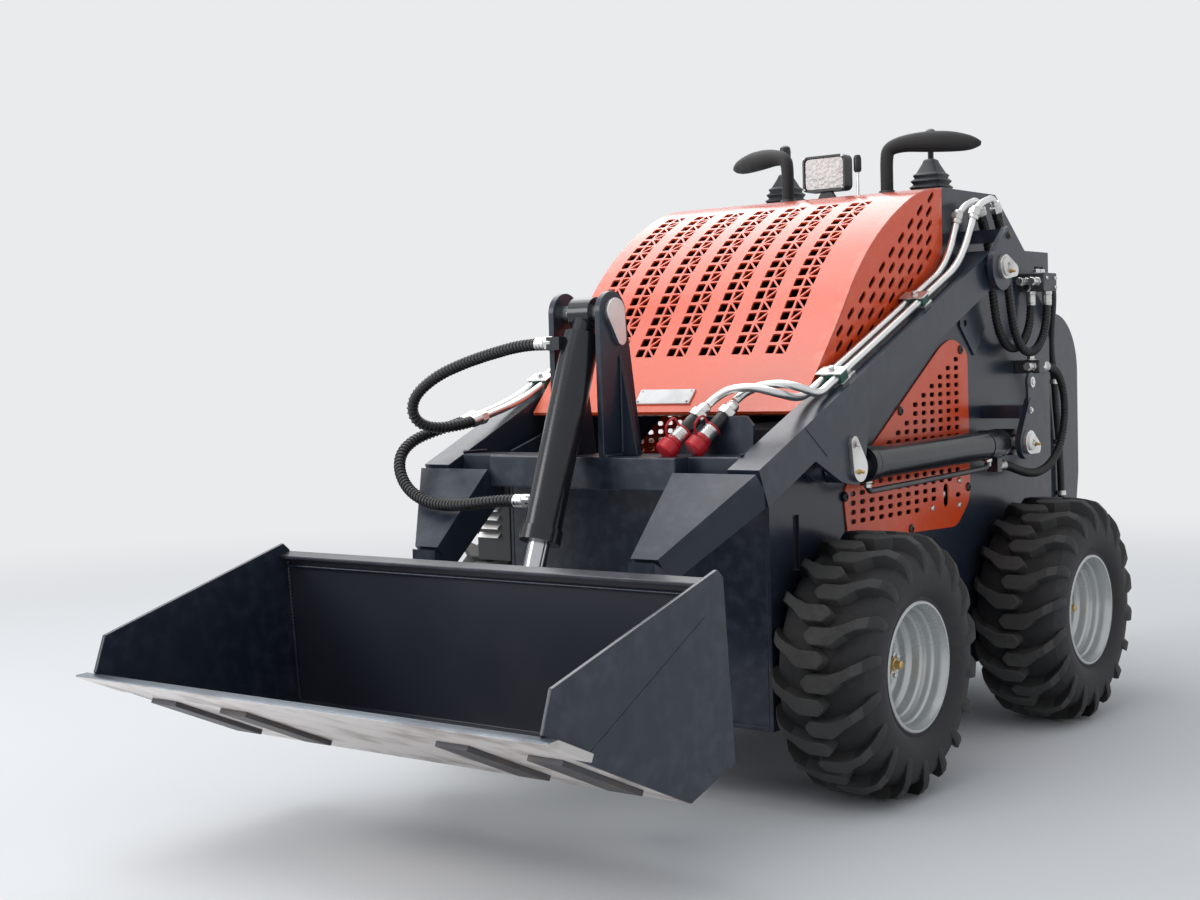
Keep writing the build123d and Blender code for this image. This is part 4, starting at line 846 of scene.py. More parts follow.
def cheeks():
    """The hood's side sheets under its curved edge, with leaning slots, and dark sheets behind them that are painted
    shade for the space under the hood.
    """
    edge = [(place.y / MM, place.z / MM) for place in even(route(facing("X", 0, HOOD_LINE)), 24)]
    outline = [(y, z - 4.2) for y, z in edge] + list(CHEEK_FOOT)
    shape = obround(30, 10, 40)
    slots = [(rear - i * CHEEK_PITCH, height, shape) for height, rear, count in CHEEK_ROWS for i in range(count)]
    panels = [perforated("cheek", outline, x, 4, slots) for x in (-HOOD_HALF_WIDTH, HOOD_HALF_WIDTH - 4)]
    mount(joined("hood_cheeks_slotted", panels), "hood", "orange_paint", ORANGE, "hood_cheeks")
    # Dark sheets behind the slots, as painted shade: through the slots they show shade under the hood, not light from
    # the far side.
    painted_shade_outline = [(y + 3, z - 11) for y, z in edge] + [(y - 4, z + 4) for y, z in CHEEK_FOOT]
    painted_shade_sheets = [plate("painted_shade_sheet", facing("X", x, painted_shade_outline), mm(1.5, 0, 0)) for x in (-287, 285.5)]
    mount(joined("hood_painted_shade_sheets", painted_shade_sheets), "hood", "lamp_plastic", BLACK_PLASTIC)


def vents():
    """The side vents: rows of slots that follow the slope, and an eye with a latch behind it."""
    shape = obround(20, 8.8, 0)
    slots = []
    for row, (first, count) in enumerate(VENT_ROWS):
        for i in range(first, first + count):
            y, z = VENT_FIRST[0] - i * VENT_PITCH[0], VENT_FIRST[1] + row * VENT_PITCH[1]
            by_eye = abs(y - VENT_EYE[0]) < 22 and abs(z - VENT_EYE[1]) < 30
            if not by_eye and all(math.dist((y, z), screw) > 17 for screw in VENT_FASTENERS):
                slots.append((y, z, shape))
    slots.append((*VENT_EYE, obround(46, 20, 90)))
    outline = draw("vent_outline", facing("X", 0, VENT_OUTLINE))
    select_all()
    bpy.ops.mesh.edge_face_add()
    bpy.ops.mesh.bevel(offset=20 * MM, segments=5, affect="VERTICES")
    mesh = bmesh.from_edit_mesh(outline.data)
    rim_line = [(v.co.y / MM, v.co.z / MM) for v in next(iter(mesh.faces)).verts]
    leave()
    bpy.data.objects.remove(outline)
    for side, sign in SIDES:
        panel = perforated(f"vent_{side}", rim_line, SIDE_FACE if sign > 0 else -SIDE_FACE - 3, 3, slots)
        mount(panel, "chassis", "orange_paint", ORANGE, f"vent_panel_{side}")
        latch = turned(f"vent_latch_{side}", ((0, 0), (0, 8), (3, 9), (9, 9), (11, 6), (11, 0)),
                       mm(sign * 273, *VENT_EYE), ALONG_X * sign, 24, 40)
        mount(latch, "chassis", "zinc_plate", CHROME)


def hood():
    hood_sheet()
    cheeks()
    vents()
    dressed("hood_plate", 0.8, ENAMEL, "zinc_plate")
    low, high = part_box("hood_plate")
    out = (high - low).cross(ALONG_X).normalized() * -1
    across = high.x - 6 * MM
    ends = ((low.y + 4 * MM, low.z + 5 * MM), (high.y - 4 * MM, high.z - 5 * MM))
    fit("hood_plate_rivets", "hood", "zinc_plate",
        [button(Vector((x, y, z)), out, 2.6, ZINC) for x in (-across, across) for y, z in ends])


# Body, arms and bucket

DRESSED = (
    # edge radius, finish, nodes
    (1.6, SLATE, ("side_plate_left", "side_plate_right", "bucket_side_left", "bucket_side_right", "coupler_plate")),
    (1.4, SLATE, ("front_plate", "rear_plate", "belly_plate", "arm_brackets", "lift_brackets")),
    (1.5, SLATE, ("axle_housings", "tilt_tower", "stand_platform")), (3, SLATE, ("console",)),
    (2.5, SLATE, ("rear_housing", "cross_member")), (2.6, SLATE, ("arm_left", "arm_right")),
    (1.2, SLATE, ("coupler_bracket",)), (2, CAST, ("engine_block",)), (0.4, WHITE_PIPE, ("arm_pipes",)),
    (0.8, ZINC, ("pivot_pins", "lift_pin_flags", "tilt_pin", "bucket_pins")),
    (2, DARK_STEEL, ("hose_manifolds",)), (0.8, DARK_STEEL, ("skid_strips",)),
    (1, CYLINDER_BLACK, ("tilt_barrel", "lift_barrel_left", "lift_barrel_right")),
    (0.5, CHROME, ("tilt_rod", "lift_rod_left", "lift_rod_right")),
)


def body():
    for width, finish, nodes in DRESSED:
        for node in nodes:
            dressed(node, width, finish)
    dressed("pipe_saddles", 0.8, ZINC, "zinc_plate")
    # The shell takes the lighter slate, as painted fill light for its shaded inside.
    shell = dressed("bucket_shell", 1.4, SLATE_PAINTED_FILL)
    # Faces that look down, on the bucket's underside and the cutting edge, take a pale finish: a painted reflection
    # of the floor.
    refinish(shell, UNDERSIDE_PAINTED_REFLECTION, lambda f: f.normal.z < -0.6 and f.calc_center_median().y < -0.78)
    lip = dressed("cutting_edge", 0.8, STEEL)
    refinish(lip, EDGE_TOP, lambda f: f.normal.z > 0.2)
    refinish(lip, UNDERSIDE_PAINTED_REFLECTION, lambda f: f.normal.z < -0.6)


# Hoses

SWING_OUTER = ((336, 506.2, 1031.6), (336, 534, 979), (335, 550, 909), (333, 568, 842), (331, 596, 786),
               (329, 645, 756), (327, 702, 758), (326, 748, 790), (325, 770, 836), (325, 770, 885))
SWING_INNER = ((312, 484.2, 1029.6), (312, 513, 978), (311, 527, 912), (309, 543, 848), (307, 568, 796),
               (306, 616, 765), (305, 672, 767), (304, 716, 796), (303, 738, 838), (303, 738, 885))
LIFT_HOSE_ACROSS = 330
LIFT_HOSE = ((722, 726), (782, 726), (829, 695), (848, 642), (838, 585), (803, 539), (752, 513), (695, 503),
             (638, 507), (584, 519), (540, 530), (500.3, 530))
LIFT_HOSE_BENDS = ((638, 483), (496, 487))
TILT_HOSE_UPPER = ((-40.3, -457, 793), (-96, -457, 793), (-165, -456, 781), (-235, -458, 765),
                   (-300, -466, 742), (-345, -478, 706), (-354, -472, 668), (-338, -440, 646),
                   (-312, -374.8, 652.5), (-312, -330, 663))
TILT_HOSE_LOWER = ((-42.3, -524, 530), (-86, -524, 530), (-132, -529, 526), (-182, -533, 520),
                   (-232, -531, 518), (-282, -528, 525), (-328, -520, 546), (-360, -505, 578),
                   (-373, -484, 606), (-374, -450, 627), (-362, -412, 640), (-336, -374.8, 652.5),
                   (-336, -330, 663))
COIL_STEPS = 8
COIL_PITCH = 7.5
FERRULE = ((4, 0), (4, 1), (7, 2.4), (9, 1.4), (13, 2.6), (16, 1.4), (20, 2.6), (23, 1.4), (27, 2.4), (30, 0.6))


def coil(name, points, radius, wire):
    """A spiral guard wound about a hose's smooth line."""
    line = route(points)
    length = sum((b - a).length for a, b in zip(line, line[1:]))
    line = even(line, int(length / (COIL_PITCH * MM)) * COIL_STEPS)
    side = (line[1] - line[0]).orthogonal().normalized()
    wound = []
    for i, place in enumerate(line[1:-1]):
        ahead = (line[i + 2] - line[i]).normalized()
        side = (side - ahead * side.dot(ahead)).normalized()
        angle = math.tau * i / COIL_STEPS
        wound.append(place + (side * math.cos(angle) + ahead.cross(side) * math.sin(angle)) * radius * MM)
    piece = spline(name, wound, wire, turns=2)
    piece.data.bevel_resolution = 1
    return meshed(piece)


def ferrule(name, start, second, radius):
    """The crimped zinc sleeve and the nut at a hose's first point, facing along the hose."""
    ahead = (second - start).normalized()
    profile = [(along, radius + over if over else 0) for along, over in FERRULE]
    nut = prism("nut", start - ahead * 9 * MM, start + ahead * 7 * MM, radius + 3.6, 6, 1.2)
    return joined(name, [turned("sleeve", profile, start, ahead, 24, 50), nut])


def hose(name, points, radius, first, last, wire, node, sleeve=ZINC):
    """A hose in its coiled guard, between two bodies."""
    run = tube(name, points, radius, HOSE)
    guard = done(coil(name + "_guard", points, radius + 0.6, wire), None, BLACK_PLASTIC)
    for piece in (run, guard):
        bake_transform(piece)
    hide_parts(node)
    mount(ferrule(name + "_first_end", *points[:2], radius), first, "zinc_plate", sleeve)
    mount(ferrule(name + "_last_end", *points[:-3:-1], radius), last, "zinc_plate", ZINC)


def hoses():
    for side, sign in SIDES:
        for name, points in (("swing_hose_outer", SWING_OUTER), ("swing_hose_inner", SWING_INNER)):
            hose(f"{name}_{side}", placed(points, sign), 8, "arms", "chassis", 1.5, name, BLACK_PLASTIC)
        lift, bends = (facing("X", sign * LIFT_HOSE_ACROSS, line) for line in (LIFT_HOSE, LIFT_HOSE_BENDS))
        hose(f"lift_hose_{side}", lift, 8, "chassis", f"lift_barrel_{side}", 1.2, "lift_hose")
    for name, points in (("tilt_hose_upper", TILT_HOSE_UPPER), ("tilt_hose_lower", TILT_HOSE_LOWER)):
        hose(name + "_run", placed(points), 9, "tilt_barrel", "arms", 2.0, name)


# Small parts


def nipple(at, axis):
    """A grease nipple."""
    profile = ((0, 0), (0, 4.5), (3, 4.5), (3, 2.4), (6, 2.4), (8, 3.2), (10, 2.4), (11, 0))
    return turned("nipple", profile, at, axis, 12, finish=BRASS)


def button(at, axis, radius, finish=ZINC):
    """A button head screw with a hexagon socket."""
    profile = ((0, 0), (0, radius), (1.5, radius), (3.4, radius * 0.8), (4.4, radius * 0.5),
               (4.4, radius * 0.42), (2, radius * 0.4), (2, 0))
    return turned("button", profile, at, axis, 18, finish=finish)


def hexagon(at, axis, radius, height, finish=ZINC):
    """A bolt's head on a washer."""
    washer = turned("washer", ((0, 0), (0, radius * 1.35), (1.6, radius * 1.35), (1.6, 0)), at, axis, 20)
    head = prism("bolt_head", at + axis * 1.6 * MM, at + axis * height * MM, radius)
    return done(joined("bolt", [washer, head]), None, finish)


def bead(name, points, radius):
    """A weld bead: a rippled run from corner to corner."""
    length = sum((b - a).length for a, b in zip(points, points[1:]))
    places = even(points, max(4, int(length / (3.2 * MM))))
    run = spline(name, places, radius, [1.0 if i % 2 else 0.72 for i in range(len(places))], 2)
    run.data.bevel_resolution = 2
    return meshed(run)


def rounded(width, height, radius, steps=3):
    """The corners of a rounded rectangle about the origin, as (u, v) pairs."""
    outline = []
    for turn, (u, v) in enumerate(((1, 1), (-1, 1), (-1, -1), (1, -1))):
        for step in range(steps + 1):
            angle = math.pi / 2 * (turn + step / steps)
            outline.append((u * (width / 2 - radius) + radius * math.cos(angle),
                            v * (height / 2 - radius) + radius * math.sin(angle)))
    return outline


# Controls

GRIP = (
    # across, along, height, thickness
    (118, 455, 1083, 1.0), (118, 455, 1120, 1.0), (118, 455, 1158, 1.0), (122, 456, 1180, 1.08),
    (150, 467, 1189, 1.3), (190, 482, 1190, 1.62), (235, 499, 1188, 1.66), (270, 512, 1183, 1.3),
    (288, 519, 1181, 0.8), (296, 522, 1180, 0.3),
)
BELLOWS = ((1083, 36), (1089, 39), (1095, 31), (1102, 36), (1108, 29), (1115, 34), (1121, 27), (1127, 30),
           (1132, 24), (1152, 14), (1158, 12), (1161, 7))
LEVER_BOX = (175, 540)
THROTTLE = (70, 420)
LAMP_FRONT = 402
LAMP_HEIGHT = 1137


def controls():
    for side, sign in SIDES:
        at_left = sign > 0
        grip = spline(f"hold_bar_{side}", placed([point[:3] for point in GRIP], sign), 13,
                      [thick for *_, thick in GRIP])
        mount(meshed(grip), "chassis", "grip_rubber", GRIP_FOAM, *["hold_bars"] * at_left)
        socket = turned(f"hold_bar_socket_{side}", ((0, 0), (0, 24), (4, 24), (7, 18), (12, 16), (12, 0)),
                        mm(sign * GRIP[0][0], GRIP[0][1], CONSOLE_TOP), ALONG_Z, 24, 40)
        mount(socket, "chassis", "lamp_plastic", BLACK_PLASTIC)
        across, along = sign * LEVER_BOX[0], LEVER_BOX[1]
        boot = loft(f"lever_boot_{side}", [facing("Z", z, rounded(2 * half, 2 * half, half * 0.22, 2), across, along)
                                           for z, half in BELLOWS])
        modify(boot, "BEVEL", width=0.9 * MM, segments=2, limit_method="ANGLE", angle_limit=0.4)
        flange = plate("flange", facing("Z", CONSOLE_TOP, rounded(90, 90, 8), across, along), mm(0, 0, 2.5),
                       finish=BLACK_PLASTIC)
        fit(f"lever_boot_{side}", "chassis", "grip_rubber", [done(boot, 50, BOOT), flange] + [
            button(mm(across + u, along + v, CONSOLE_TOP + 2), ALONG_Z, 4) for u in (-39, 39) for v in (-39, 39)])
        lever = turned(f"control_lever_{side}", ((0, 0), (0, 6), (36, 6), (38, 9), (42, 11.5), (62, 12.5), (72, 11),
                                                 (76, 6), (77, 0)), mm(across, along, 1146), ALONG_Z, 24, 40)
        mount(lever, "chassis", "grip_rubber", BLACK_PLASTIC, *["control_levers"] * at_left)
    foot = mm(*THROTTLE, CONSOLE_TOP)
    rod = turned("throttle_rod", ((0, 0), (0, 3), (62, 3), (62, 0)), foot, ALONG_Z, 12, finish=ZINC)
    knob = turned("throttle_knob", ((52, 0), (52, 6), (56, 8), (80, 8), (86, 6), (88, 0)), foot, ALONG_Z, 20, 40,
                  BLACK_PLASTIC)
    fit("throttle_lever", "chassis", "grip_rubber", [rod, knob])


def work_lamp():
    """A rectangular lamp: its case with a hollowed bezel, its glass, its foot and its screws."""
    case = plate("work_lamp_case", facing("Y", LAMP_FRONT, rounded(100, 74, 12, 4), v=LAMP_HEIGHT), mm(0, 32, 0))
    choose(case, "FACE", lambda f: f.normal.y > 0.9)
    bpy.ops.mesh.inset(thickness=12 * MM, depth=0)
    bpy.ops.transform.translate(value=mm(0, 12, 0))
    leave()
    choose(case, "FACE", lambda f: f.normal.y < -0.9)
    bpy.ops.mesh.inset(thickness=4.5 * MM, depth=0)
    pull(mm(0, 5, 0))
    leave()
    soften(case, 1.5, 3)
    glass = plate("lens", facing("Y", LAMP_FRONT + 5, rounded(90, 64, 9, 4), v=LAMP_HEIGHT), mm(0, -2.5, 0), 1, GLASS)
    outline = ((-20, 0), (20, 0), (20, 6), (9, 22), (-9, 22), (-20, 6))
    foot = plate("foot", facing("Y", 412, outline, v=CONSOLE_TOP), mm(0, 8, 0), 1, BLACK_PLASTIC)
    fit("work_lamp_dressed", "chassis", "lamp_plastic", [done(case, None, BLACK_PLASTIC), glass, foot] + [
        button(mm(u, LAMP_FRONT, LAMP_HEIGHT + v), -ALONG_Y, 3) for u in (-45, 45) for v in (-32, 32)], "work_lamp")


# Couplers and fittings

COUPLER_AXIS = Vector((38, 80, 78)).normalized()
COUPLERS = ((157, -406, 608), (197, -380, 611))
COUPLER_PARTS = (
    # finish, profile along the coupler
    (RED_PLASTIC, ((-3, 0), (-3, 16), (-1, 18.6), (15, 19), (17, 17.5), (18, 15), (27, 14.6), (28, 12.5), (28, 0))),
    (ZINC, ((28, 0), (28, 13.2), (31, 14), (33, 12.6), (36, 14), (38, 12.6), (41, 14), (43, 12.6), (46, 14),
            (50, 13.4), (52, 11.5), (52, 0))),
    (BLACK_PLASTIC, ((52, 0), (52, 11), (56, 12), (76, 12), (80, 10.6), (80, 0))),
    (ZINC, ((95, 0), (95, 10.5), (98, 11.4), (106, 10.4), (110, 8.4), (110, 0))),
)
# Along the coupler, above it, to its side
TETHER = ((21, 15, 0), (21, 30, 8), (35, 38, 14), (46, 34, 12), (50, 26, 4), (50, 14, 0))
TETHER_RINGS = ((21, 14.6), (50, 13.8))


def couplers():
    """Two quick couplers with red caps, knurled collars and the caps' red tethers."""
    side = COUPLER_AXIS.cross(ALONG_Z).normalized()
    above = side.cross(COUPLER_AXIS)
    parts = []
    for start in placed(COUPLERS):
        def on(along, rise=0, out=0):
            return start + (COUPLER_AXIS * along + above * rise + side * out) * MM

        parts += [turned("coupler_part", profile, start, COUPLER_AXIS, 32, 35, finish)
                  for finish, profile in COUPLER_PARTS]
        parts.append(prism("coupler_nut", on(80), on(95), 15, 6, 1.5, ZINC))
        for along, reach in TETHER_RINGS:
            circle = [(math.cos(math.tau * i / 8) * 1.8, reach + math.sin(math.tau * i / 8) * 1.8) for i in range(9)]
            parts.append(turned("tether_ring", circle, on(along), COUPLER_AXIS, 32, 60, RED_PLASTIC))
        parts.append(tube("tether", [on(*place) for place in TETHER], 1.9, RED_PLASTIC))
    fit("quick_couplers_dressed", "arms", "zinc_plate", parts, "quick_couplers")


PIPE_NUTS = (
    # across, along, height, direction along, direction height
    (312, 372, 1016, 0.47, 0.88), (336, 397, 1024, 0.53, 0.85),
    (312, 476, 1045, 0.50, -0.87), (336, 497, 1050, 0.45, -0.89),
)


def pipe_nuts():
    parts = []
    for _, sign in SIDES:
        for x, y, z, along, rise in PIPE_NUTS:
            ahead = Vector((0, along, rise)).normalized()
            at = mm(sign * x, y, z)
            parts += [prism("pipe_nut", at, at + ahead * 15 * MM, 12.5, 6, 1.5),
                      turned("pipe_sleeve", ((-8, 0), (-8, 9), (-6, 10), (0, 10), (15, 10), (20, 9), (20, 0)), at,
                             ahead, 20, 40)]
    mount(joined("pipe_nuts", parts), "arms", "zinc_plate", ZINC)


ARM_COSINE = 0.9174
ARM_SINE = 0.3979
CLAMPS_ALONG = (270, 606)
CLAMP_LAYERS = (
    # low, high, half its length, from and to across, finish
    (37, 53, 13, 302, 346, CLAMP_GREEN), (53, 56, 16, 299, 349, ZINC), (33, 37, 16, 299, 349, ZINC),
)


def on_arm(along, above):
    """A place along the upper arm from its pivot, and above its middle line, as (y, z)."""
    return (ARM_PIVOT[0] - ARM_COSINE * along - ARM_SINE * above,
            ARM_PIVOT[1] - ARM_SINE * along + ARM_COSINE * above)


def clamps():
    """The two clamps on each arm: a green block about both pipes, a plate over it and its bolt."""
    parts = []
    for _, sign in SIDES:
        for along in CLAMPS_ALONG:
            for low, high, half, inner, outer, finish in CLAMP_LAYERS:
                corners = ((-half, low), (half, low), (half, high), (-half, high))
                parts.append(plate("clamp", facing("X", sign * inner, [on_arm(along + u, v) for u, v in corners]),
                                   mm(sign * (outer - inner), 0, 0), 0.8, finish))
            above = Vector((0, -ARM_SINE, ARM_COSINE))
            parts.append(hexagon(mm(sign * 324, *on_arm(along, 56)), above, 5.5, 7))
    fit("pipe_clamps", "arms", "zinc_plate", parts)


BARREL_ACROSS = 330
BARREL_HEAD = (-125, 566)
BARREL_RADIUS = 29
COLLARS = (
    # from, to, over the barrel
    (36, 50, 0.6), (104, 109, 1.4), (560, 575, 2.2), (578, 596, 3.4),
)
# Along the barrel and below it
RETURN_PIPE = ((575, 0), (575, 20), (549, 20), (335, 19), (105, 17), (85, 14), (83, 0))


def cylinder_fittings():
    """The lift cylinders' collars, and the ports and the thin return pipe under each."""
    for side, sign in SIDES:
        start = mm(sign * BARREL_ACROSS, *LIFT_PIVOT)
        ahead = (mm(sign * BARREL_ACROSS, *BARREL_HEAD) - start).normalized()

        def under(along, below):
            return start + (ahead * along - ALONG_Z * (BARREL_RADIUS + below)) * MM

        parts = []
        for low, high, over in COLLARS:
            inner, outer = BARREL_RADIUS - 2, BARREL_RADIUS + over
            collar = turned("collar", ((low, inner), (low, outer), (high, outer), (high, inner)), start, ahead, 40)
            soften(collar, 0.7)
            parts.append(done(collar, None, CYLINDER_BLACK))
        parts.append(tube("return_pipe", [under(*place) for place in RETURN_PIPE], 5.5, DARK_STEEL))
        parts += [prism("port_nut", under(along, low), under(along, high), size, finish=ZINC)
                  for along in (575, 83) for low, high, size in ((-3, 6, 9), (6, 14, 7))]
        fit(f"cylinder_lift_{side}_fittings", f"lift_barrel_{side}", "zinc_plate", parts)


MANIFOLD_PORTS = (
    # across, along, height, length forward
    (303, 722, 905, 34), (326, 722, 905, 26), (303, 722, 893, 0), (326, 692, 727, 24),
)
PLUGS = ((744, 923), (768, 923), (707, 740))
BLOCK_SCREWS = ((733, 912), (777, 912), (777, 893))


def manifold_fittings():
    """The swivel fittings that stand on the hose blocks, with plugs above and screws beside them."""
    parts = []
    for _, sign in SIDES:
        for x, y, z, length in MANIFOLD_PORTS:
            middle, tip = 9 + length * 0.55, 9 + length
            for low, high, size, sides, finish in ((0, 7, 9.5, 6, ZINC), (7, 9, 7, 16, BLACK_PLASTIC),
                                                   (9, middle, 7.5, 16, ZINC), (middle, tip, 9, 6, ZINC)):
                if high > low:
                    parts.append(prism("fitting", mm(sign * x, y - low, z), mm(sign * x, y - high, z), size, sides,
                                       finish=finish))
        for plug in facing("X", sign * 314, PLUGS):
            cover = ((8, 7), (8, 5), (14, 5), (16, 3), (16, 0))
            parts += [hexagon(plug, ALONG_Z, 8, 9),
                      turned("plug_cap", cover, plug, ALONG_Z, 16, finish=BLACK_PLASTIC)]
        parts += [button(at, ALONG_X * sign, 4) for at in facing("X", sign * 340, BLOCK_SCREWS)]
    fit("manifold_fittings", "chassis", "zinc_plate", parts)


# Side plates, oil cooler and back

GUSSET = ((430, 892), (430, 812), (493, 753), (585, 850), (585, 892))
LOBE = (566, 696)
LOBE_FOOT = ((549, 655), (553, 626), (580, 630), (580, 655))


def gussets():
    """The plates below the arms' pivots and the lobes above the lift cylinders' brackets."""
    arc = [(LOBE[0] + 20 * math.cos(a), LOBE[1] + 20 * math.sin(a))
           for a in (math.pi * (i / 10 * 1.3 - 0.15) for i in range(11))]
    for side, sign in SIDES:
        out = ALONG_X * sign
        gusset = perforated("gusset", GUSSET, SIDE_FACE if sign > 0 else -SIDE_FACE - 4, 4,
                            [(453, 818, obround(13, 13, 0))])
        lobe = plate("lobe", facing("X", sign * 371, [*arc, *LOBE_FOOT]), mm(sign * 6, 0, 0), 1, SLATE)
        centre = mm(sign * 377, *LOBE)
        ring = turned("ring", ((0, 6), (0, 11), (3, 11), (3, 6)), centre, out, 24, finish=ZINC)
        fit(f"side_plates_{side}", "chassis", "dark_paint",
            [done(gusset, None, SLATE), lobe, ring, hexagon(centre, out, 5.5, 5)])


def cooler():
    """The louvred oil cooler and its valve block, beside the front plate on the right."""
    parts = [plate("cooler_case", facing("X", -SIDE_FACE, ((-292, 392), (-262, 410), (-262, 540), (-292, 540))),
                   mm(-82, 0, 0), 2, BLACK_PLASTIC)]
    for z in (436, 453, 470, 487):
        outline = ((-290, z + 11), (-301, z), (-299.4, z - 1.4), (-289, z + 8))
        parts.append(plate("louvre", facing("X", -308, outline), mm(-52, 0, 0), 0.4, ZINC, 1))
    parts.append(plate("valve_block", facing("X", -304, ((-290, 508), (-308, 512), (-308, 530), (-290, 534))),
                       mm(-46, 0, 0), 2, CAST))
    parts += [hexagon(mm(x, -308, 521), -ALONG_Y, 6, 12) for x in (-315, -338)]
    fit("oil_cooler", "chassis", "engine_cast", parts)


CABLE = ((320, 786, 904), (320, 808, 903), (310, 838, 876), (294, 868, 830), (276, 900, 770), (273, 926, 700),
         (272, 934, 640), (272, 950, 560), (272, 958, 470), (272, 958, 410), (258, 958, 384))
LEAD = ((304, 786, 916), (298, 812, 898), (288, 846, 860), (280, 880, 806), (270, 908, 756), (267, 918, 716),
        (256, 920, 690))
CLIPS = ((273, 927, 690), (272, 951, 555), (272, 958, 440))


def rear_lines():
    """The hydraulic line and the lamp's lead that run down the rear housing's sides, with clips."""
    for side, sign in SIDES:
        parts = [tube("line", placed(CABLE, sign), 8, HOSE), tube("lead", placed(LEAD, sign), 3, WHITE_PIPE)]
        for x, y, z in CLIPS:
            band = ((-5, 8), (-5, 10.5), (5, 10.5), (5, 8))
            parts += [turned("clip", band, mm(sign * x, y, z), ALONG_Z, 20, finish=ZINC),
                      button(mm(sign * 263, y + 13, z), ALONG_X * sign, 4)]
        fit(f"rear_lines_{side}", "chassis", "hose_rubber", parts)


PANEL = mm(0, 683.5, 1028)
PANEL_OUT = Vector((0, 110, 142)).normalized()
PANEL_DOWN = Vector((0, 142, -110)).normalized()
DIALS = (
    # across, along, radius, finish of the glass
    (-70, 0, 30, ENAMEL), (0, -18, 11, RED_PLASTIC), (0, 20, 11, CLAMP_GREEN),
)
FILLER = (-150, 815, 973)
FILLER_CAP = ((0, 0), (0, 34), (9, 34), (11, 31), (11, 36), (24, 36), (28, 32), (28, 10), (33, 8), (33, 0))


def control_panel():
    """The operator's panel on the console's slope: a key in its lock, a meter and two lamps."""
    def on_slope(across, along, above=0):
        return PANEL + (ALONG_X * across + PANEL_DOWN * along + PANEL_OUT * above) * MM

    parts = [plate("panel", [on_slope(u, v) for u, v in rounded(250, 110, 12)], PANEL_OUT * 3 * MM, 0.8,
                   BLACK_PLASTIC)]
    parts += [button(on_slope(u, v, 3), PANEL_OUT, 4) for u in (-115, 115) for v in (-45, 45)]
    for across, along, radius, finish in DIALS:
        at = on_slope(across, along)
        bezel = ((3, radius + 4), (6, radius + 4), (8, radius + 2), (8, radius), (5, radius), (5, 0), (3, 0))
        glass = ((5, 0), (5, radius), (6.5, radius), (8, radius * 0.6), (8.4, 0))
        parts += [turned("bezel", bezel, at, PANEL_OUT, 32, 40, DARK_STEEL),
                  turned("glass", glass, at, PANEL_OUT, 32, 40, finish)]
    parts += [turned("lock", ((3, 17), (6, 17), (9, 13), (13, 12), (13, 0), (3, 0)), on_slope(72, 0), PANEL_OUT, 28,
                     40, ZINC),
              plate("key", [on_slope(72 + u, v, 12) for u, v in rounded(3, 20, 1.4)], PANEL_OUT * 22 * MM,
                    finish=ZINC)]
    fit("control_panel", "chassis", "lamp_plastic", parts)
    cap = turned("filler_cap", FILLER_CAP, mm(*FILLER), ALONG_Z, 36)
    soften(cap, 0.8)
    mount(cap, "chassis", "lamp_plastic", BLACK_PLASTIC)


BACK_FACE = 1084
LATCH_HEIGHT = 690
COVER_TOP = 842
LATCH_SEAT = ((0, 0), (0, 22), (3, 22), (5, 18), (5, 7), (14, 7), (14, 0))


def rear_cover():
    """The rear housing's lamps, its latch, its hinges and its row of raised louvres."""
    parts = []
    for u in (-214, 214):
        at = mm(u, BACK_FACE, LATCH_HEIGHT)
        parts += [turned("rear_lamp", ((0, 0), (0, 27), (6, 27), (9, 24), (9, 22)), at, ALONG_Y, 32, 40,
                         BLACK_PLASTIC),
                  turned("rear_glass", ((5, 22), (9, 22), (12, 15), (13, 0)), at, ALONG_Y, 32, 40, RED_PLASTIC)]
    seat = turned("latch_seat", LATCH_SEAT, mm(0, BACK_FACE, LATCH_HEIGHT), ALONG_Y, 28)
    soften(seat, 1)
    grip = facing("Y", BACK_FACE + 12, rounded(58, 13, 6), v=LATCH_HEIGHT)
    parts += [done(seat, None, ZINC), plate("latch_grip", grip, mm(0, 8, 0), 1, ZINC)]
    for u in (-150, 150):
        leaf = facing("Z", COVER_TOP, ((-30, 0), (30, 0), (30, 30), (-30, 30)), u, 884)
        parts += [prism("hinge_knuckle", mm(u - 34, 884, 848), mm(u + 34, 884, 848), 6, 16, finish=DARK_STEEL),
                  plate("hinge_leaf", leaf, mm(0, 0, 3), finish=DARK_STEEL)]
        parts += [button(mm(u + x, 903, COVER_TOP + 3), ALONG_Z, 4) for x in (-20, 20)]
    for u in range(-200, 201, 50):
        outline = ((-18, 0), (18, 0), (18, 7), (-18, 7))
        parts.append(plate("louvre", facing("Z", COVER_TOP, outline, u, 925), mm(0, 0, 4), 1.2, SLATE))
    fit("rear_housing_fittings", "chassis", "lamp_plastic", parts)


def tread():
    """Raised cleats on the stand, in a chequered pattern, and two ribs on its underside."""
    parts = []
    for row in range(9):
        for column in range(7):
            lean = 0.6 if (row + column) % 2 else -0.6
            outline = [(x * math.cos(lean) - y * math.sin(lean), x * math.sin(lean) + y * math.cos(lean))
                       for x, y in rounded(34, 7, 3, 2)]
            cleat = facing("Y", 1094.5, outline, -186 + 62 * column, 300 + 38 * row)
            parts.append(plate("cleat", cleat, mm(0, -3, 0), 0.8, SLATE, 1))
    for u in (-110, 110):
        rib = facing("Y", 1099, ((-14, 279), (14, 279), (14, 629), (-14, 629)), u)
        parts.append(plate("rib", rib, mm(0, 10, 0), 0.8, SLATE, 1))
    fit("stand_tread", "stand", "dark_paint", parts)


# Pins, screws and welds

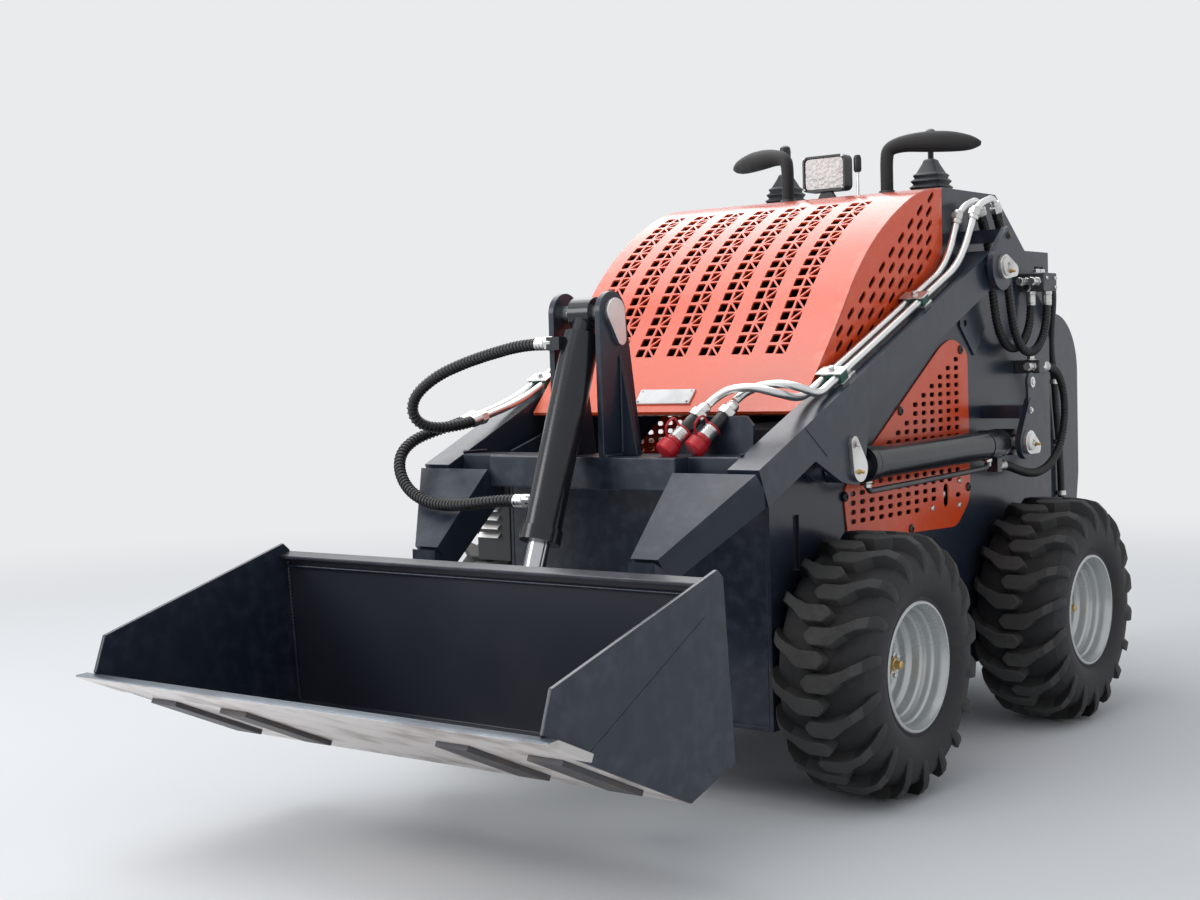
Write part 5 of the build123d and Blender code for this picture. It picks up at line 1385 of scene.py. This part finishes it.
PIVOT_BOSSES = (
    # pivot, radius, nipple
    (ARM_PIVOT, 19, (442, 916)), (LIFT_PIVOT, 17, (549, 572)),
)
BODY_BOLTS = (
    # across, along, height, radius and height of the head, finish
    (BRACKET_FACE, 466, 987, 6, DARK_STEEL), (BRACKET_FACE, 556, 640, 5, ZINC), (292, 818, 925, 5, SLATE),
)
BELLY_BOLTS = ((250, -260, 130), (250, 290, 130), (250, 850, 130))


def fasteners():
    """The screws, bolts and nipples of the body, the arms and the bucket."""
    on_body, on_arms, on_bucket = [], [], []
    for _, sign in SIDES:
        out = ALONG_X * sign
        vent_face = sign * (SIDE_FACE + 3)
        on_body += [button(at, out, 9, BLACK_PLASTIC) for at in facing("X", vent_face, VENT_SCREWS)]
        on_body += [button(at, out, 6) for at in facing("X", vent_face, VENT_FASTENERS)]
        for pivot, radius, grease in PIVOT_BOSSES:
            boss = ((0, 0), (0, radius), (3, radius), (5, radius - 3), (5, radius - 11), (2, radius - 12), (2, 0))
            on_body += [turned("pivot_boss", boss, mm(sign * 386, *pivot), out, 28, 40, ZINC),
                        nipple(mm(sign * 391, *grease), out)]
        on_body += [hexagon(mm(sign * x, y, z), out, size, size, finish) for x, y, z, size, finish in BODY_BOLTS]
        on_body += [hexagon(at, -ALONG_Z, 7, 6) for at in placed(BELLY_BOLTS, sign)]
        on_arms += [nipple(mm(sign * 368, -132, 560), out), hexagon(mm(sign * 368, -143, 608), out, 5, 6)]
        on_bucket += [nipple(mm(sign * 284, -560, 190), out)]
    fit("body_fasteners", "chassis", "zinc_plate", on_body)
    fit("arm_fasteners", "arms", "zinc_plate", on_arms)
    fit("bucket_fasteners", "bucket", "zinc_plate", on_bucket)


# Radius and points, on both sides
BUCKET_WELDS = (
    (4, ((447, -697, 430), (447, -681, 182))), (3.5, ((447, -690, 166), (447, -780, 150), (447, -1090, 286))),
    (1.4, ((457, -739, 397), (457, -1015, 253))),
)
LIP_WELD = ((-446, -700, 421), (446, -700, 421))
ARM_WELDS = (
    (3, ((58, -390, 604), (58, -390, 768))), (3.2, ((57, -438, 601), (57, -334, 601))),
    (3.4, ((300, -396, 603), (300, -334, 603))), (1.5, ((360, -293, 642), (360, -226, 593))),
)


def welds():
    """Beads where plates meet on the bucket, the tower and the arms."""
    bucket, tower = ([bead("weld", placed(points, sign), radius) for _, sign in SIDES for radius, points in runs]
                     for runs in (BUCKET_WELDS, ARM_WELDS))
    bucket.append(bead("lip_weld", placed(LIP_WELD), 3.4))
    mount(joined("bucket_welds", bucket), "bucket", "dark_paint", SLATE)
    mount(joined("tower_welds", tower), "arms", "dark_paint", SLATE)


for build in (stage, light, camera, wheels, hood, body, hoses, controls, work_lamp, couplers, pipe_nuts, clamps,
              cylinder_fittings, manifold_fittings, gussets, cooler, rear_lines, control_panel, rear_cover, tread,
              fasteners, welds):
    build()
